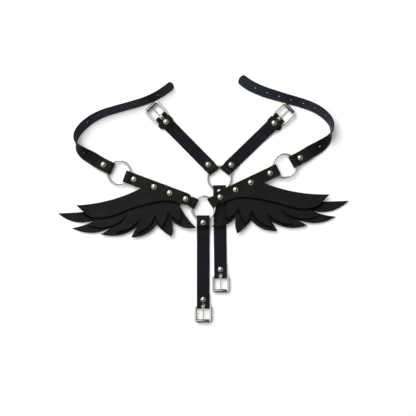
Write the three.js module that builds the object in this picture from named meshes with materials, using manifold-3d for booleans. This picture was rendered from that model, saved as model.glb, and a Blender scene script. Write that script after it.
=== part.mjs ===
// Angel wing harness: black leather straps, layered leather wings, nickel rings, rivets and roller buckles.
// It lies flat on a table with the V straps turned up. Millimetres, +Z up, measured from the lower ring.
import * as THREE from "three";
import { mergeVertices } from "three/addons/utils/BufferGeometryUtils.js";
import Module from "manifold-3d";

const wasm = await Module();
wasm.setup();

// Leather
const leather = 1.6;
const gap = 0.3;
const layerStep = leather + gap;
const strapHalf = 9.5;
const vStrapHalf = 9.3;
const tabHalf = 8;
const bandHalf = 8.9;
const bandMiddle = -0.4;
const keeperLeather = 1.1;

// Rings and the folds round their wire
const wireRadius = 1.5;
const ringRadius = 17.5;
const ringSides = 20;
const foldRadius = wireRadius + gap + leather / 2;
const foldSteps = 6;
const slope = foldRadius * Math.SQRT1_2;
const landing = 2 * slope + foldRadius - layerStep;
const upperWire = leather + gap + wireRadius;
const lowerWire = upperWire + layerStep;

// Rivets
const capRadius = 4;
const capHeight = 1.4;
const capSeat = 0.2;
const shankRadius = 1.2;
const baseRadius = 3.5;
const baseHeight = 0.8;
const rivetSides = 10;

// Roller buckles, measured from the bar that the strap folds round
const barToRoller = 22;
const railOffset = 11.4;
const frameCorner = 2;
const rollerRadius = 2.4;
const rollerHalf = 9.2;
const prongRadius = 1;
const prongEye = wireRadius + gap + prongRadius;
const prongLength = 25;
const prongDrop = 0.85;
const slotHalf = 2.4;
const slotReach = 4.7;

// V straps, places along the strap from the centre of the upper ring
const upperRing = [23.9, 45];
const vShift = 2;
const vLoopHalf = 8;
const vRivetLow = 26.1;
const vRivetHigh = 115.6;
const vBar = 125.4;
const vBarHeight = lowerWire;
const vRiseFrom = 84;
const vRiseTo = 104;
const vRaised = leather / 2 + layerStep;
const vBuckleFlap = vRaised + leather + 2 * gap + keeperLeather;
const vFlapEnd = 34.4;
const vBuckleFlapEnd = 105.7;
const keeperFrom = vBar - 13.8;
const keeperTo = vBar - 4.8;
const keeperBulge = 2.6;
const keeperSnug = 0.5;

// V strap sides: direction from the upper ring, and the sign of y on the side away from the other strap
const vStraps = [
  { side: "left", angle: 134.6, outer: 1 },
  { side: "right", angle: 44, outer: -1 },
];

// Hanging straps, places along the strap from the centre of the ring that carries it
const hangingBar = 147;
const hangingRivet = hangingBar - 10;
const hangingFlapEnd = hangingBar - 19.5;
const settleFrom = 33;
const settleTo = 52;
const frontRivet = 21.6;
const frontFlapBend = 26;
const frontFlapEnd = 31;
const frontShift = -0.3;
const backRivet = 20.8;
const backFlapEnd = 24.9;
const backAngle = -89.3;

// Wings, in a frame with its origin at the inner rivet and u outward along the band
const tabReach = 29.6;
const tongueHalf = 3.6;
const tabNeck = 25;
const tabNeckHalf = 5.4;
const tabShoulder = ringRadius + 3;
const bandEnd = 9;
const bandTop = bandMiddle + bandHalf;
const bandBottom = bandMiddle - bandHalf;
const bandJoin = 76;
const wingRivets = [0, 25.5, 50.5, 82.8];
const outerRing = 107.4;
const wingReach = 172;
const wingLift = lowerWire + foldRadius + leather / 2 + gap - 2 * layerStep;
const wingTilt = Math.asin(wingLift / wingReach);

// Punched holes of the side straps, counted from the free end
const sideRivet = 26.2;
const sideFlapEnd = 34.5;
const routeStart = 31;
const holeRadius = 1.25;
const holeFirst = 28;
const holePitch = 18.8;
const holeCount = 10;

// Wing sides: sign of u along x, direction to the inner rivet, turn of the band, v of the outer ring
const wings = [
  { side: "left", hand: -1, tabAngle: 152.8, bandAngle: -20.8, ringV: 1.6 },
  { side: "right", hand: 1, tabAngle: 33.3, bandAngle: 25.6, ringV: 0.2 },
];

// Feather rows: tip u, tip v, bow of the upper edge, root u, root v, bow of the lower edge
const longFeathers = [
  [171.4, -88, -0.6, 116.5, -78.5, 7.8],
  [144, -101.3, -1.6, 90.5, -80.4, 7.5],
  [100, -94.6, -0.6, 52.9, -64.8, 6.8],
  [55.6, -82.7, 0.6, 27.2, -51.1, 5.5],
  [-0.2, -60.3, 1.2, 8.3, -37.5, 2],
  [-30, -34.7, 5, 5, -12.5, -2],
];
const middleFeathers = [
  [121.5, -88.2, 0, 73.8, -54.5, 9.6],
  [80, -83, -0.3, 52.9, -50, 5],
  [50, -73, 1.6, 34, -38, 5],
  [18.8, -52.5, 1, 18.6, -26.6, 2.4],
  [-4.1, -34.4, 1.6, 5.5, -13.4, 2.4],
];

// Covered edges of the feather layers under the cover: u, v
const longRoots = [[4, -6], [16, 5], [58, 5], [58, -5], [120, -64.5]];
const middleRoots = [[6, -7], [16, 4], [58, 4], [58, -6], [110, -66]];

// Lower edge of the cover from the inner rivet to its tip, and the hollow of its upper edge
const coverEdge = [
  [9, -9.5], [26, -12.6], [46, -24], [72, -43], [88, -57.7], [105, -69.6], [123.5, -74.8], [149.5, -67],
];
const coverNotch = [68.3, bandBottom];
const coverHollow = -5.2;

// Side strap rows past the rivet: x, y, lean of the strap from flat in degrees
const sideStraps = [
  {
    side: "left",
    angle: 153.5,
    route: [
      [-166.8, 75.1, -12], [-178.7, 81.9, -31], [-186.6, 89.7, -58], [-190.1, 98.2, -88],
      [-189, 108.1, -106], [-181.9, 119.3, -116], [-167.4, 131.6, -118], [-151.2, 140.2, -117],
      [-130.6, 146.8, -116], [-108.4, 153, -116], [-87.5, 159.4, -117], [-70.7, 166.8, -118],
      [-56.6, 175.7, -118], [-48.6, 182, -118],
    ],
  },
  {
    side: "right",
    angle: 27.7,
    route: [
      [159.9, 84.1, 8], [175.7, 93.2, 27], [186.4, 103, 56], [191, 113.9, 88], [191.4, 122.2, 100],
      [188.9, 129, 109], [182.5, 137.2, 116], [171.3, 145.9, 120], [158.5, 152.2, 123], [143.3, 157.4, 124],
      [127.2, 161.9, 126], [112, 166.5, 128], [95.2, 171.6, 131], [79.4, 177.8, 132], [66, 184.8, 133],
      [57.4, 191.4, 132],
    ],
  },
];
const routeSteps = 2;

const leatherBlack = new THREE.MeshStandardMaterial({ color: 0x21231f, roughness: 0.6, metalness: 0 });
const nickel = new THREE.MeshStandardMaterial({ color: 0xd8d5ca, roughness: 0.2, metalness: 1 });

const degrees = THREE.MathUtils.degToRad;
const acrossAxis = new THREE.Vector3(0, 1, 0);
const upAxis = new THREE.Vector3(0, 0, 1);

// A closed solid from a geometry, and the geometry of a solid
function solidOf(geometry) {
  const bare = geometry.clone();
  bare.deleteAttribute("normal");
  bare.deleteAttribute("uv");
  const merged = mergeVertices(bare, 1e-4);
  return new wasm.Manifold(new wasm.Mesh({
    numProp: 3,
    vertProperties: new Float32Array(merged.attributes.position.array),
    triVerts: new Uint32Array(merged.index.array),
  }));
}

function geometryOf(solid) {
  const mesh = solid.getMesh();
  const geometry = new THREE.BufferGeometry();
  geometry.setAttribute("position", new THREE.BufferAttribute(mesh.vertProperties, 3));
  geometry.setIndex(new THREE.BufferAttribute(mesh.triVerts, 1));
  geometry.computeVertexNormals();
  return geometry;
}

function piece(name, solid, material) {
  const mesh = new THREE.Mesh(geometryOf(solid), material);
  mesh.name = name;
  return mesh;
}

// An upright cutter whose flat sides lie at the radius
function rod(radius, low, high, x, y, sides = 6) {
  const corner = radius / Math.cos(Math.PI / sides);
  const geometry = new THREE.CylinderGeometry(corner, corner, high - low, sides);
  return solidOf(geometry.rotateX(Math.PI / 2).translate(x, y, (low + high) / 2));
}

// The hole for a rivet's shank, with a seat sunk into the lowest leather where the base lies flush
function rivetHole(x, y, low, high) {
  return rod(shankRadius + gap, low - 1, high + 1, x, y);
}

function rivetSeat(x, y, under) {
  return rod(baseRadius + gap, under - 1, under + baseHeight + gap, x, y, rivetSides);
}

// One rivet: flat base, shank and domed cap. A sunk base lies just inside the leather's underside.
function rivet(name, x, y, under, top, sunk) {
  const low = sunk ? under + gap / 3 : under - capSeat - baseHeight;
  const seat = top + capSeat;
  const profile = [
    [0, low],
    [baseRadius, low],
    [baseRadius, low + baseHeight],
    [shankRadius, low + baseHeight],
    [shankRadius, seat],
    [capRadius, seat],
    [capRadius * 0.8, seat + capHeight * 0.7],
    [0, seat + capHeight],
  ].map(([radius, height]) => new THREE.Vector2(radius, height));
  const body = new THREE.LatheGeometry(profile, rivetSides).rotateX(Math.PI / 2);
  return piece(name, solidOf(body.translate(x, y, 0)), nickel);
}

function ring(name) {
  return piece(name, solidOf(new THREE.TorusGeometry(ringRadius, wireRadius, 8, ringSides)), nickel);
}

// A leather strip through stations, each with a centre, a half-width vector and a half-thickness vector
function stripOf(stations) {
  const corners = [[-1, -1], [1, -1], [1, 1], [-1, 1]];
  const positions = [];
  for (const { centre, side, up } of stations) {
    for (const [across, over] of corners) {
      positions.push(...centre.clone().addScaledVector(side, across).addScaledVector(up, over).toArray());
    }
  }
  const index = [];
  const quad = (a, b, c, d) => index.push(a, b, c, a, c, d);
  const last = 4 * (stations.length - 1);
  for (let start = 0; start < last; start += 4) {
    for (let k = 0; k < 4; k++) {
      const next = start + (k + 1) % 4;
      quad(start + k, next, next + 4, start + k + 4);
    }
  }
  quad(3, 2, 1, 0);
  quad(last, last + 1, last + 2, last + 3);
  const geometry = new THREE.BufferGeometry();
  geometry.setAttribute("position", new THREE.Float32BufferAttribute(positions, 3));
  geometry.setIndex(index);
  return solidOf(geometry);
}

// Stations of a strip whose middle follows rows of along, height and (where it differs) half width
function stationsAlong(rows, half, middle = 0) {
  const points = rows.map(([along, height]) => new THREE.Vector3(along, middle, height));
  const headings = points.slice(1).map((point, i) => point.clone().sub(points[i]).normalize());
  return points.map((centre, i) => {
    const before = headings[Math.max(i - 1, 0)];
    const after = headings[Math.min(i, headings.length - 1)];
    const tangent = before.clone().add(after).normalize();
    const up = tangent.clone().cross(acrossAxis).multiplyScalar(leather / 2 / tangent.dot(after));
    return { centre, side: acrossAxis.clone().multiplyScalar(rows[i][2] ?? half), up };
  });
}

// Rows of a fold round a wire, turning from one angle to another
function foldRows(along, height, from, to, half) {
  const rows = [];
  for (let i = 0; i <= foldSteps; i++) {
    const turn = degrees(from + (to - from) * i / foldSteps);
    rows.push([along + foldRadius * Math.cos(turn), height + foldRadius * Math.sin(turn), half]);
  }
  return rows;
}

// Where a straight fold has to lie to clear the curved wire of a ring across the strap's width
function foldPlace(half) {
  const inside = (ringRadius - wireRadius) * Math.cos(Math.PI / ringSides);
  return Math.sqrt(inside ** 2 - half ** 2) + wireRadius;
}

// Rows of a fold over a ring: down from the strap above the wire, round its inside and out below it
function ringFold(half, wire, aboveRows, belowRows, width = half) {
  const place = foldPlace(half);
  return [...aboveRows, ...foldRows(place, wire, 90, 270, width), ...belowRows];
}

// Rows of a fold round a buckle's bar, up and back, landing at a height on the way back
function barFold(bar, height, landHeight) {
  const land = bar - 2 * slope - height + landHeight;
  return [
    ...foldRows(bar, height, -90, 90),
    [bar - slope, height + slope],
    [land, landHeight],
  ];
}

function slotCut(bar) {
  const length = 2 * slotReach;
  return solidOf(new THREE.BoxGeometry(length, 2 * slotHalf, 30).translate(bar, 0, 0));
}

// A closed loop of round wire along a rounded rectangle from the bar to the roller
function frameSolid() {
  const sides = 8;
  const cornerSteps = 3;
  const corners = [
    [frameCorner, railOffset - frameCorner, 180, 90],
    [barToRoller - frameCorner, railOffset - frameCorner, 90, 0],
    [barToRoller - frameCorner, frameCorner - railOffset, 0, -90],
    [frameCorner, frameCorner - railOffset, -90, -180],
  ];
  const positions = [];
  const index = [];
  for (const [x, y, from, to] of corners) {
    for (let i = 0; i <= cornerSteps; i++) {
      const turn = degrees(from + (to - from) * i / cornerSteps);
      const out = new THREE.Vector3(Math.cos(turn), Math.sin(turn), 0);
      const centre = new THREE.Vector3(x, y, 0).addScaledVector(out, frameCorner);
      for (let k = 0; k < sides; k++) {
        const round = 2 * Math.PI * k / sides;
        const point = centre.clone().addScaledVector(out, wireRadius * Math.cos(round));
        positions.push(...point.addScaledVector(upAxis, wireRadius * Math.sin(round)).toArray());
      }
    }
  }
  const total = positions.length / 3;
  for (let start = 0; start < total; start += sides) {
    for (let k = 0; k < sides; k++) {
      const a = start + k;
      const b = start + (k + 1) % sides;
      const c = (b + sides) % total;
      const d = (a + sides) % total;
      index.push(a, b, c, a, c, d);
    }
  }
  const geometry = new THREE.BufferGeometry();
  geometry.setAttribute("position", new THREE.Float32BufferAttribute(positions, 3));
  geometry.setIndex(index);
  return solidOf(geometry);
}

function rollerSolid() {
  const bore = wireRadius + gap;
  const profile = [
    [bore, -rollerHalf],
    [rollerRadius, -rollerHalf],
    [rollerRadius, rollerHalf],
    [bore, rollerHalf],
    [bore, -rollerHalf],
  ].map(([radius, across]) => new THREE.Vector2(radius, across));
  return solidOf(new THREE.LatheGeometry(profile, 14).translate(barToRoller, 0, 0));
}

// The prong: an eye round the bar and a tapered shank that lies under the roller
function prongSolid() {
  const eye = new THREE.TorusGeometry(prongEye, prongRadius, 6, 12).rotateX(Math.PI / 2);
  const shank = new THREE.CylinderGeometry(prongRadius * 0.8, prongRadius, prongLength, 8);
  shank.rotateZ(-Math.PI / 2).translate(prongLength / 2, 0, 0);
  shank.rotateY(Math.asin(prongDrop / prongLength)).translate(0, 0, -prongEye);
  return solidOf(eye).add(solidOf(shank));
}

// A buckle of the hanging straps in one piece: frame, fixed roller and prong
function plainBuckle(name) {
  const roller = new THREE.CylinderGeometry(rollerRadius, rollerRadius, 2 * rollerHalf, 12);
  const prong = new THREE.CylinderGeometry(prongRadius * 0.8, prongRadius, prongLength, 8);
  prong.rotateZ(-Math.PI / 2).translate(prongLength / 2, 0, 0);
  prong.rotateY(-Math.asin(rollerRadius / barToRoller)).translate(0, 0, prongRadius / 2);
  const solid = frameSolid().add(solidOf(roller.translate(barToRoller, 0, 0))).add(solidOf(prong));
  return piece(name, solid, nickel);
}

// A V strap: flat underneath, folded up round the ring and the buckle bar, with both flaps on top
function vStrap(name) {
  const low = leather / 2;
  const flap = low + layerStep;
  const above = [
    [vFlapEnd, flap],
    [ringRadius + landing + 2, flap],
    [ringRadius + landing, flap, vLoopHalf + 0.9],
    [ringRadius + slope, upperWire + slope, vLoopHalf + 0.4],
    [ringRadius, upperWire + foldRadius, vLoopHalf],
  ];
  const along = [[ringRadius, low, vLoopHalf], [ringRadius + landing + 2, low]];
  const rise = [[vRiseFrom, low], [vRiseTo, vRaised]];
  const back = [[keeperFrom, vBuckleFlap], [vBuckleFlapEnd, vRaised + layerStep]];
  const rows = [
    ...ringFold(vLoopHalf + vShift, upperWire, above, [...along, ...rise], vLoopHalf),
    ...barFold(vBar, vBarHeight, vBuckleFlap),
    ...back,
  ];
  const cuts = [
    rivetHole(vRivetLow, 0, 0, flap),
    rivetSeat(vRivetLow, 0, 0),
    rivetHole(vRivetHigh, 0, 0, 2 * vBuckleFlap),
    rivetSeat(vRivetHigh, 0, vRaised - leather / 2),
    slotCut(vBar),
  ];
  return piece(name, cutAll(stripOf(stationsAlong(rows, vStrapHalf)), cuts), leatherBlack);
}

function cutAll(solid, cuts) {
  return cuts.reduce((rest, cut) => rest.subtract(cut), solid);
}

function roundedBox(path, x0, y0, x1, y1, corner) {
  path.moveTo(x0 + corner, y0);
  path.lineTo(x1 - corner, y0);
  path.quadraticCurveTo(x1, y0, x1, y0 + corner);
  path.lineTo(x1, y1 - corner);
  path.quadraticCurveTo(x1, y1, x1 - corner, y1);
  path.lineTo(x0 + corner, y1);
  path.quadraticCurveTo(x0, y1, x0, y1 - corner);
  path.lineTo(x0, y0 + corner);
  path.quadraticCurveTo(x0, y0, x0 + corner, y0);
  return path;
}

// The keeper: a band round the V strap that stands out on its outer side, held between strap and flap
function keeper(name, outer) {
  const snug = -outer * (vStrapHalf + keeperSnug);
  const loose = outer * (vStrapHalf + keeperBulge);
  const inside = [Math.min(snug, loose), keeperLeather, Math.max(snug, loose), 2 * leather + 2 * gap];
  const [left, low, right, high] = inside;
  const wall = keeperLeather;
  const shape = roundedBox(new THREE.Shape(), left - wall, low - wall, right + wall, high + wall, 2.2);
  shape.holes.push(roundedBox(new THREE.Path(), left, low, right, high, 1.2));
  const depth = keeperTo - keeperFrom;
  const band = new THREE.ExtrudeGeometry(shape, { depth, bevelEnabled: false, curveSegments: 3 });
  band.applyMatrix4(new THREE.Matrix4().makeBasis(acrossAxis, upAxis, new THREE.Vector3(1, 0, 0)));
  const solid = solidOf(band.translate(keeperFrom, 0, 0));
  return piece(name, solid.subtract(rivetHole(vRivetHigh, 0, high, high + wall)), leatherBlack);
}

// A hanging strap: folded over its ring with the flap on top, and round the bar of its buckle
function hangingStrap(name, wire, ringRivet, above) {
  const low = leather / 2;
  const level = wire - foldRadius;
  const flap = low + layerStep;
  const rows = [
    ...ringFold(strapHalf, wire, above, [[settleFrom, level], [settleTo, low]]),
    ...barFold(hangingBar, upperWire, flap),
    [hangingFlapEnd, flap],
  ];
  const cuts = [
    rivetHole(ringRivet, 0, level - leather / 2, wire + foldRadius),
    rivetHole(hangingRivet, 0, 0, flap),
    rivetSeat(hangingRivet, 0, 0),
    slotCut(hangingBar),
  ];
  if (wire === upperWire) cuts.push(rivetSeat(ringRivet, 0, 0));
  return piece(name, cutAll(stripOf(stationsAlong(rows, strapHalf)), cuts), leatherBlack);
}

// A feather layer: each row runs out along the upper edge to a tip and back along the lower edge to a root
function featherShape(hand, rows, roots) {
  const shape = new THREE.Shape();
  let at = new THREE.Vector2(...roots.at(-1));
  shape.moveTo(hand * at.x, at.y);
  const bowTo = (u, v, bow) => {
    const to = new THREE.Vector2(u, v);
    const along = to.clone().sub(at);
    const outward = new THREE.Vector2(-along.y, along.x).normalize();
    const control = at.clone().lerp(to, 0.5).addScaledVector(outward, 2 * bow);
    shape.quadraticCurveTo(hand * control.x, control.y, hand * u, v);
    at = to;
  };
  for (const [tipU, tipV, upperBow, rootU, rootV, lowerBow] of rows) {
    bowTo(tipU, tipV, upperBow);
    bowTo(rootU, rootV, lowerBow);
  }
  for (const [u, v] of roots) shape.lineTo(hand * u, v);
  return shape;
}

function layerSolid(shape, level) {
  const sheet = { depth: leather, bevelEnabled: false, curveSegments: 5 };
  const geometry = new THREE.ExtrudeGeometry(shape, sheet);
  return solidOf(geometry.translate(0, 0, level * layerStep));
}

// The cover: riveted band with a round inner end, swept down into the broad top feather
function coverShape(hand) {
  const shape = new THREE.Shape();
  const endSteps = 8;
  shape.moveTo(hand * bandJoin, bandTop);
  for (let i = 0; i <= endSteps; i++) {
    const turn = Math.PI * (0.5 + i / endSteps);
    shape.lineTo(hand * bandEnd * Math.cos(turn), bandEnd * Math.sin(turn));
  }
  const [tipU, tipV] = coverEdge.at(-1);
  const lowerPoints = [[0, -bandEnd], ...coverEdge].map(([u, v]) => new THREE.Vector2(u, v));
  const lowerEdge = new THREE.SplineCurve(lowerPoints);
  for (const point of lowerEdge.getPoints(4 * coverEdge.length)) shape.lineTo(hand * point.x, point.y);
  const tip = new THREE.Vector2(tipU, tipV);
  const notch = new THREE.Vector2(...coverNotch);
  const along = notch.clone().sub(tip);
  const outward = new THREE.Vector2(along.y, -along.x).normalize();
  const control = tip.clone().lerp(notch, 0.5).addScaledVector(outward, 2 * coverHollow);
  shape.quadraticCurveTo(hand * control.x, control.y, hand * notch.x, notch.y);
  shape.lineTo(hand * bandJoin, bandBottom);
  return shape;
}

// The band's outer end: over the outer ring, round its wire and back underneath to the outer rivet
function bandFold(hand, ringV) {
  const cover = 2 * layerStep + leather / 2;
  const flap = layerStep + leather / 2;
  const reach = bandHalf + Math.abs(ringV - bandMiddle);
  const above = [
    [outerRing - bandJoin + 1, cover],
    [ringRadius + 2 * slope - (cover - upperWire), cover],
    [ringRadius + slope, upperWire + slope],
    [ringRadius, upperWire + foldRadius],
  ];
  const below = [
    [ringRadius, upperWire - foldRadius, bandHalf],
    [ringRadius + slope, upperWire - slope, bandHalf],
    [ringRadius + 2 * slope - upperWire + flap, flap, bandHalf],
    [outerRing - wingRivets[3] + capRadius * 2, flap, bandHalf],
  ];
  const rows = ringFold(reach, upperWire, above, below, bandHalf);
  const outward = rows.map(([along, height, half]) => [hand * (outerRing - along), height, half]);
  return stripOf(stationsAlong(outward, bandHalf, bandMiddle));
}

function wing({ side, hand, tabAngle, bandAngle, ringV }) {
  const group = new THREE.Group();
  const angle = degrees(tabAngle);
  group.position.set(tabReach * Math.cos(angle), tabReach * Math.sin(angle), wingLift);
  group.rotation.set(0, hand * wingTilt, degrees(bandAngle), "ZYX");
  const [inner, third, second, outer] = wingRivets.map((u) => hand * u);
  const top = 2 * layerStep + leather;
  const through = [third, second].map((x) => rivetHole(x, 0, 0, top));
  const coverHoles = [inner, third, second, outer].map((x) => rivetHole(x, 0, layerStep, top));
  const longLayer = layerSolid(featherShape(hand, longFeathers, longRoots), 0);
  const middleLayer = layerSolid(featherShape(hand, middleFeathers, middleRoots), 1);
  const cover = layerSolid(coverShape(hand), 2).add(bandFold(hand, ringV));
  const outerRingMesh = ring(`${side}_ring`);
  outerRingMesh.position.set(hand * outerRing, ringV, upperWire);
  group.add(
    piece(`wing_long_feathers_${side}`, cutAll(longLayer, through), leatherBlack),
    piece(`wing_middle_feathers_${side}`, cutAll(middleLayer, through), leatherBlack),
    piece(`wing_cover_${side}`, cutAll(cover, coverHoles), leatherBlack),
    rivet(`wing_rivet_${side}_1`, outer, 0, layerStep, top, false),
    rivet(`wing_rivet_${side}_2`, second, 0, 0, top, false),
    rivet(`wing_rivet_${side}_3`, third, 0, 0, top, false),
    rivet(`wing_rivet_${side}_4`, inner, 0, 0, top, false),
    outerRingMesh,
  );
  return group;
}

// A centre tab: a broad strip round the lower ring whose two ends narrow to tongues under the inner rivet
function centreTab({ side, tabAngle }) {
  const under = wingLift + leather / 2;
  const over = lowerWire + foldRadius;
  const level = lowerWire - foldRadius;
  const tongue = (height) => [
    [tabReach, height, tongueHalf],
    [tabReach + tongueHalf * 0.7, height, tongueHalf * 0.72],
    [tabReach + tongueHalf, height, tongueHalf * 0.3],
  ];
  const above = [...tongue(over).reverse(), [tabNeck, over, tabNeckHalf], [tabShoulder, over, tabHalf]];
  const below = [
    [ringRadius + wireRadius + gap, level, tabHalf],
    [tabNeck, under, tabNeckHalf],
    ...tongue(under),
  ];
  const rows = ringFold(tabHalf, lowerWire, above, below);
  const hole = rivetHole(tabReach, 0, wingLift, over);
  const tab = piece(`wing_tab_${side}`, stripOf(stationsAlong(rows, tabHalf)).subtract(hole), leatherBlack);
  tab.rotation.z = degrees(tabAngle);
  return tab;
}

// Height of the outer ring's wire where the side strap folds round it
function sideWire() {
  return wingLift - (outerRing + ringRadius) * Math.sin(wingTilt) + upperWire * Math.cos(wingTilt);
}

// A side strap: folded under at its ring, then turning up on edge and leaning over on its way back
function sideStrapStations(centre, angle, route) {
  const wire = sideWire();
  const level = wire - foldRadius;
  const main = level + layerStep;
  const rows = [
    [sideFlapEnd, level],
    ...foldRows(foldPlace(strapHalf), wire, 270, 90),
    [ringRadius, wire + foldRadius],
    [ringRadius + slope, wire + slope],
    [ringRadius + landing, main],
    [routeStart, main],
  ];
  const turn = new THREE.Matrix4().makeRotationZ(degrees(angle)).setPosition(centre);
  const stations = stationsAlong(rows, strapHalf).map(({ centre: at, side, up }) => ({
    centre: at.applyMatrix4(turn),
    side: side.transformDirection(turn).multiplyScalar(strapHalf),
    up: up.clone().transformDirection(turn).multiplyScalar(up.length()),
  }));
  const start = stations.at(-1).centre;
  const plan = [centre, start, ...route.map(([x, y]) => new THREE.Vector3(x, y, 0))];
  const curve = new THREE.CatmullRomCurve3(plan.map(({ x, y }) => new THREE.Vector3(x, y, 0)));
  const leans = [0, 0, ...route.map((row) => row[2])];
  const spans = leans.length - 1;
  for (let i = routeSteps + 1; i <= spans * routeSteps; i++) {
    const place = i / routeSteps;
    const row = Math.min(Math.floor(place), spans - 1);
    const lean = degrees(THREE.MathUtils.lerp(leans[row], leans[row + 1], place - row));
    const left = upAxis.clone().cross(curve.getTangent(place / spans)).normalize();
    const side = left.clone().multiplyScalar(Math.cos(lean)).addScaledVector(upAxis, Math.sin(lean));
    const up = left.clone().multiplyScalar(-Math.sin(lean)).addScaledVector(upAxis, Math.cos(lean));
    const settle = 1 - THREE.MathUtils.smoothstep(place, 1, 3.5);
    const onEdge = strapHalf * Math.abs(Math.sin(lean)) + leather / 2 * Math.abs(Math.cos(lean));
    const centreAt = curve.getPoint(place / spans);
    centreAt.z = onEdge + settle * (main - leather / 2);
    side.multiplyScalar(strapHalf);
    up.multiplyScalar(leather / 2);
    stations.push({ centre: centreAt, side, up });
  }
  return roundEnd(stations);
}

// The free end narrows over its last few millimetres to a round tip
function roundEnd(stations) {
  const tip = stations.at(-1);
  const heading = tip.side.clone().cross(tip.up).normalize();
  for (const [further, share] of [[2.2, 0.86], [3.8, 0.62], [4.6, 0.34]]) {
    stations.push({
      centre: tip.centre.clone().addScaledVector(heading, further),
      side: tip.side.clone().multiplyScalar(share),
      up: tip.up,
    });
  }
  return stations;
}

// Punched holes at equal steps back from the free end, square to the leather
function punches(stations) {
  const cuts = [];
  let walked = 0;
  for (let i = stations.length - 1; i > 0 && cuts.length < holeCount; i--) {
    const far = stations[i];
    const near = stations[i - 1];
    const length = far.centre.distanceTo(near.centre);
    let target = holeFirst + cuts.length * holePitch;
    while (target <= walked + length && cuts.length < holeCount) {
      const share = (target - walked) / length;
      const through = far.up.clone().lerp(near.up, share).normalize();
      const at = far.centre.clone().lerp(near.centre, share);
      const punch = new THREE.CylinderGeometry(holeRadius, holeRadius, 4 * leather, 6);
      const turn = new THREE.Quaternion().setFromUnitVectors(acrossAxis, through);
      cuts.push(solidOf(punch.applyQuaternion(turn).translate(at.x, at.y, at.z)));
      target = holeFirst + cuts.length * holePitch;
    }
    walked += length;
  }
  return cuts;
}

function sideStrap({ side, angle, route }, centre) {
  const stations = sideStrapStations(centre, angle, route);
  const along = new THREE.Vector3(Math.cos(degrees(angle)), Math.sin(degrees(angle)), 0);
  const at = centre.clone().addScaledVector(along, sideRivet);
  const under = sideWire() - foldRadius - leather / 2;
  const top = under + layerStep + leather;
  const cuts = [...punches(stations), rivetHole(at.x, at.y, under, top)];
  const group = new THREE.Group();
  group.add(
    piece(`side_strap_${side}`, cutAll(stripOf(stations), cuts), leatherBlack),
    rivet(`side_rivet_${side}`, at.x, at.y, under, top, false),
  );
  return group;
}

// A V strap with its rivets, keeper and roller buckle
function vAssembly({ side, angle, outer }) {
  const group = new THREE.Group();
  const inward = degrees(angle) - outer * Math.PI / 2;
  const [x, y] = upperRing;
  group.position.set(x + vShift * Math.cos(inward), y + vShift * Math.sin(inward), 0);
  group.rotation.z = degrees(angle);
  const buckle = new THREE.Group();
  buckle.position.set(vBar, 0, vBarHeight);
  buckle.add(
    piece(`v_buckle_${side}`, frameSolid(), nickel),
    piece(`v_prong_${side}`, prongSolid(), nickel),
    piece(`v_roller_${side}`, rollerSolid(), nickel),
  );
  group.add(
    vStrap(`v_strap_${side}`),
    keeper(`v_keeper_${side}`, outer),
    rivet(`v_rivet_${side}_lower`, vRivetLow, 0, 0, layerStep + leather, true),
    rivet(`v_rivet_${side}_upper`, vRivetHigh, 0, layerStep, vBuckleFlap + leather / 2, true),
    buckle,
  );
  return group;
}

// A hanging strap with its two rivets and its buckle
function hangingAssembly(name, x, y, angle, wire, ringRivet, above) {
  const group = new THREE.Group();
  group.position.set(x, y, 0);
  group.rotation.z = degrees(angle);
  const buckle = plainBuckle(`${name}_buckle`);
  buckle.position.set(hangingBar, 0, upperWire);
  const ringUnder = wire - foldRadius - leather / 2;
  const ringTop = wire + foldRadius + leather / 2;
  group.add(
    hangingStrap(`${name}_strap`, wire, ringRivet, above),
    rivet(`${name}_rivet_ring`, ringRivet, 0, ringUnder, ringTop, wire === upperWire),
    rivet(`${name}_rivet_buckle`, hangingRivet, 0, 0, layerStep + leather, true),
    buckle,
  );
  return group;
}

const harness = new THREE.Group();

const upperRingMesh = ring("upper_ring");
upperRingMesh.position.set(...upperRing, upperWire);
const lowerRingMesh = ring("lower_ring");
lowerRingMesh.position.z = lowerWire;
harness.add(upperRingMesh, lowerRingMesh);

for (const row of vStraps) harness.add(vAssembly(row));

const frontAbove = [
  [frontFlapEnd, lowerWire - foldRadius + layerStep],
  [frontFlapBend, lowerWire + foldRadius],
];
const backAbove = [[backFlapEnd, upperWire + foldRadius]];
harness.add(hangingAssembly("front", frontShift, 0, -90, lowerWire, frontRivet, frontAbove));
harness.add(hangingAssembly("back", ...upperRing, backAngle, upperWire, backRivet, backAbove));

for (const [i, row] of wings.entries()) {
  const wingGroup = wing(row);
  harness.add(wingGroup, centreTab(row));
  harness.updateMatrixWorld(true);
  const centre = wingGroup.localToWorld(new THREE.Vector3(row.hand * outerRing, row.ringV, 0));
  centre.z = 0;
  harness.add(sideStrap(sideStraps[i], centre));
}

// The harness stands on z = 0 with the middle of its box over the origin
const box = new THREE.Box3().setFromObject(harness, true);
const middle = box.getCenter(new THREE.Vector3());
harness.position.set(-middle.x, -middle.y, -box.min.z);

const model = new THREE.Group();
model.add(harness);

export default model;
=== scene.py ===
import math

import bpy
import numpy as np
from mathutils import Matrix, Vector, geometry


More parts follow.
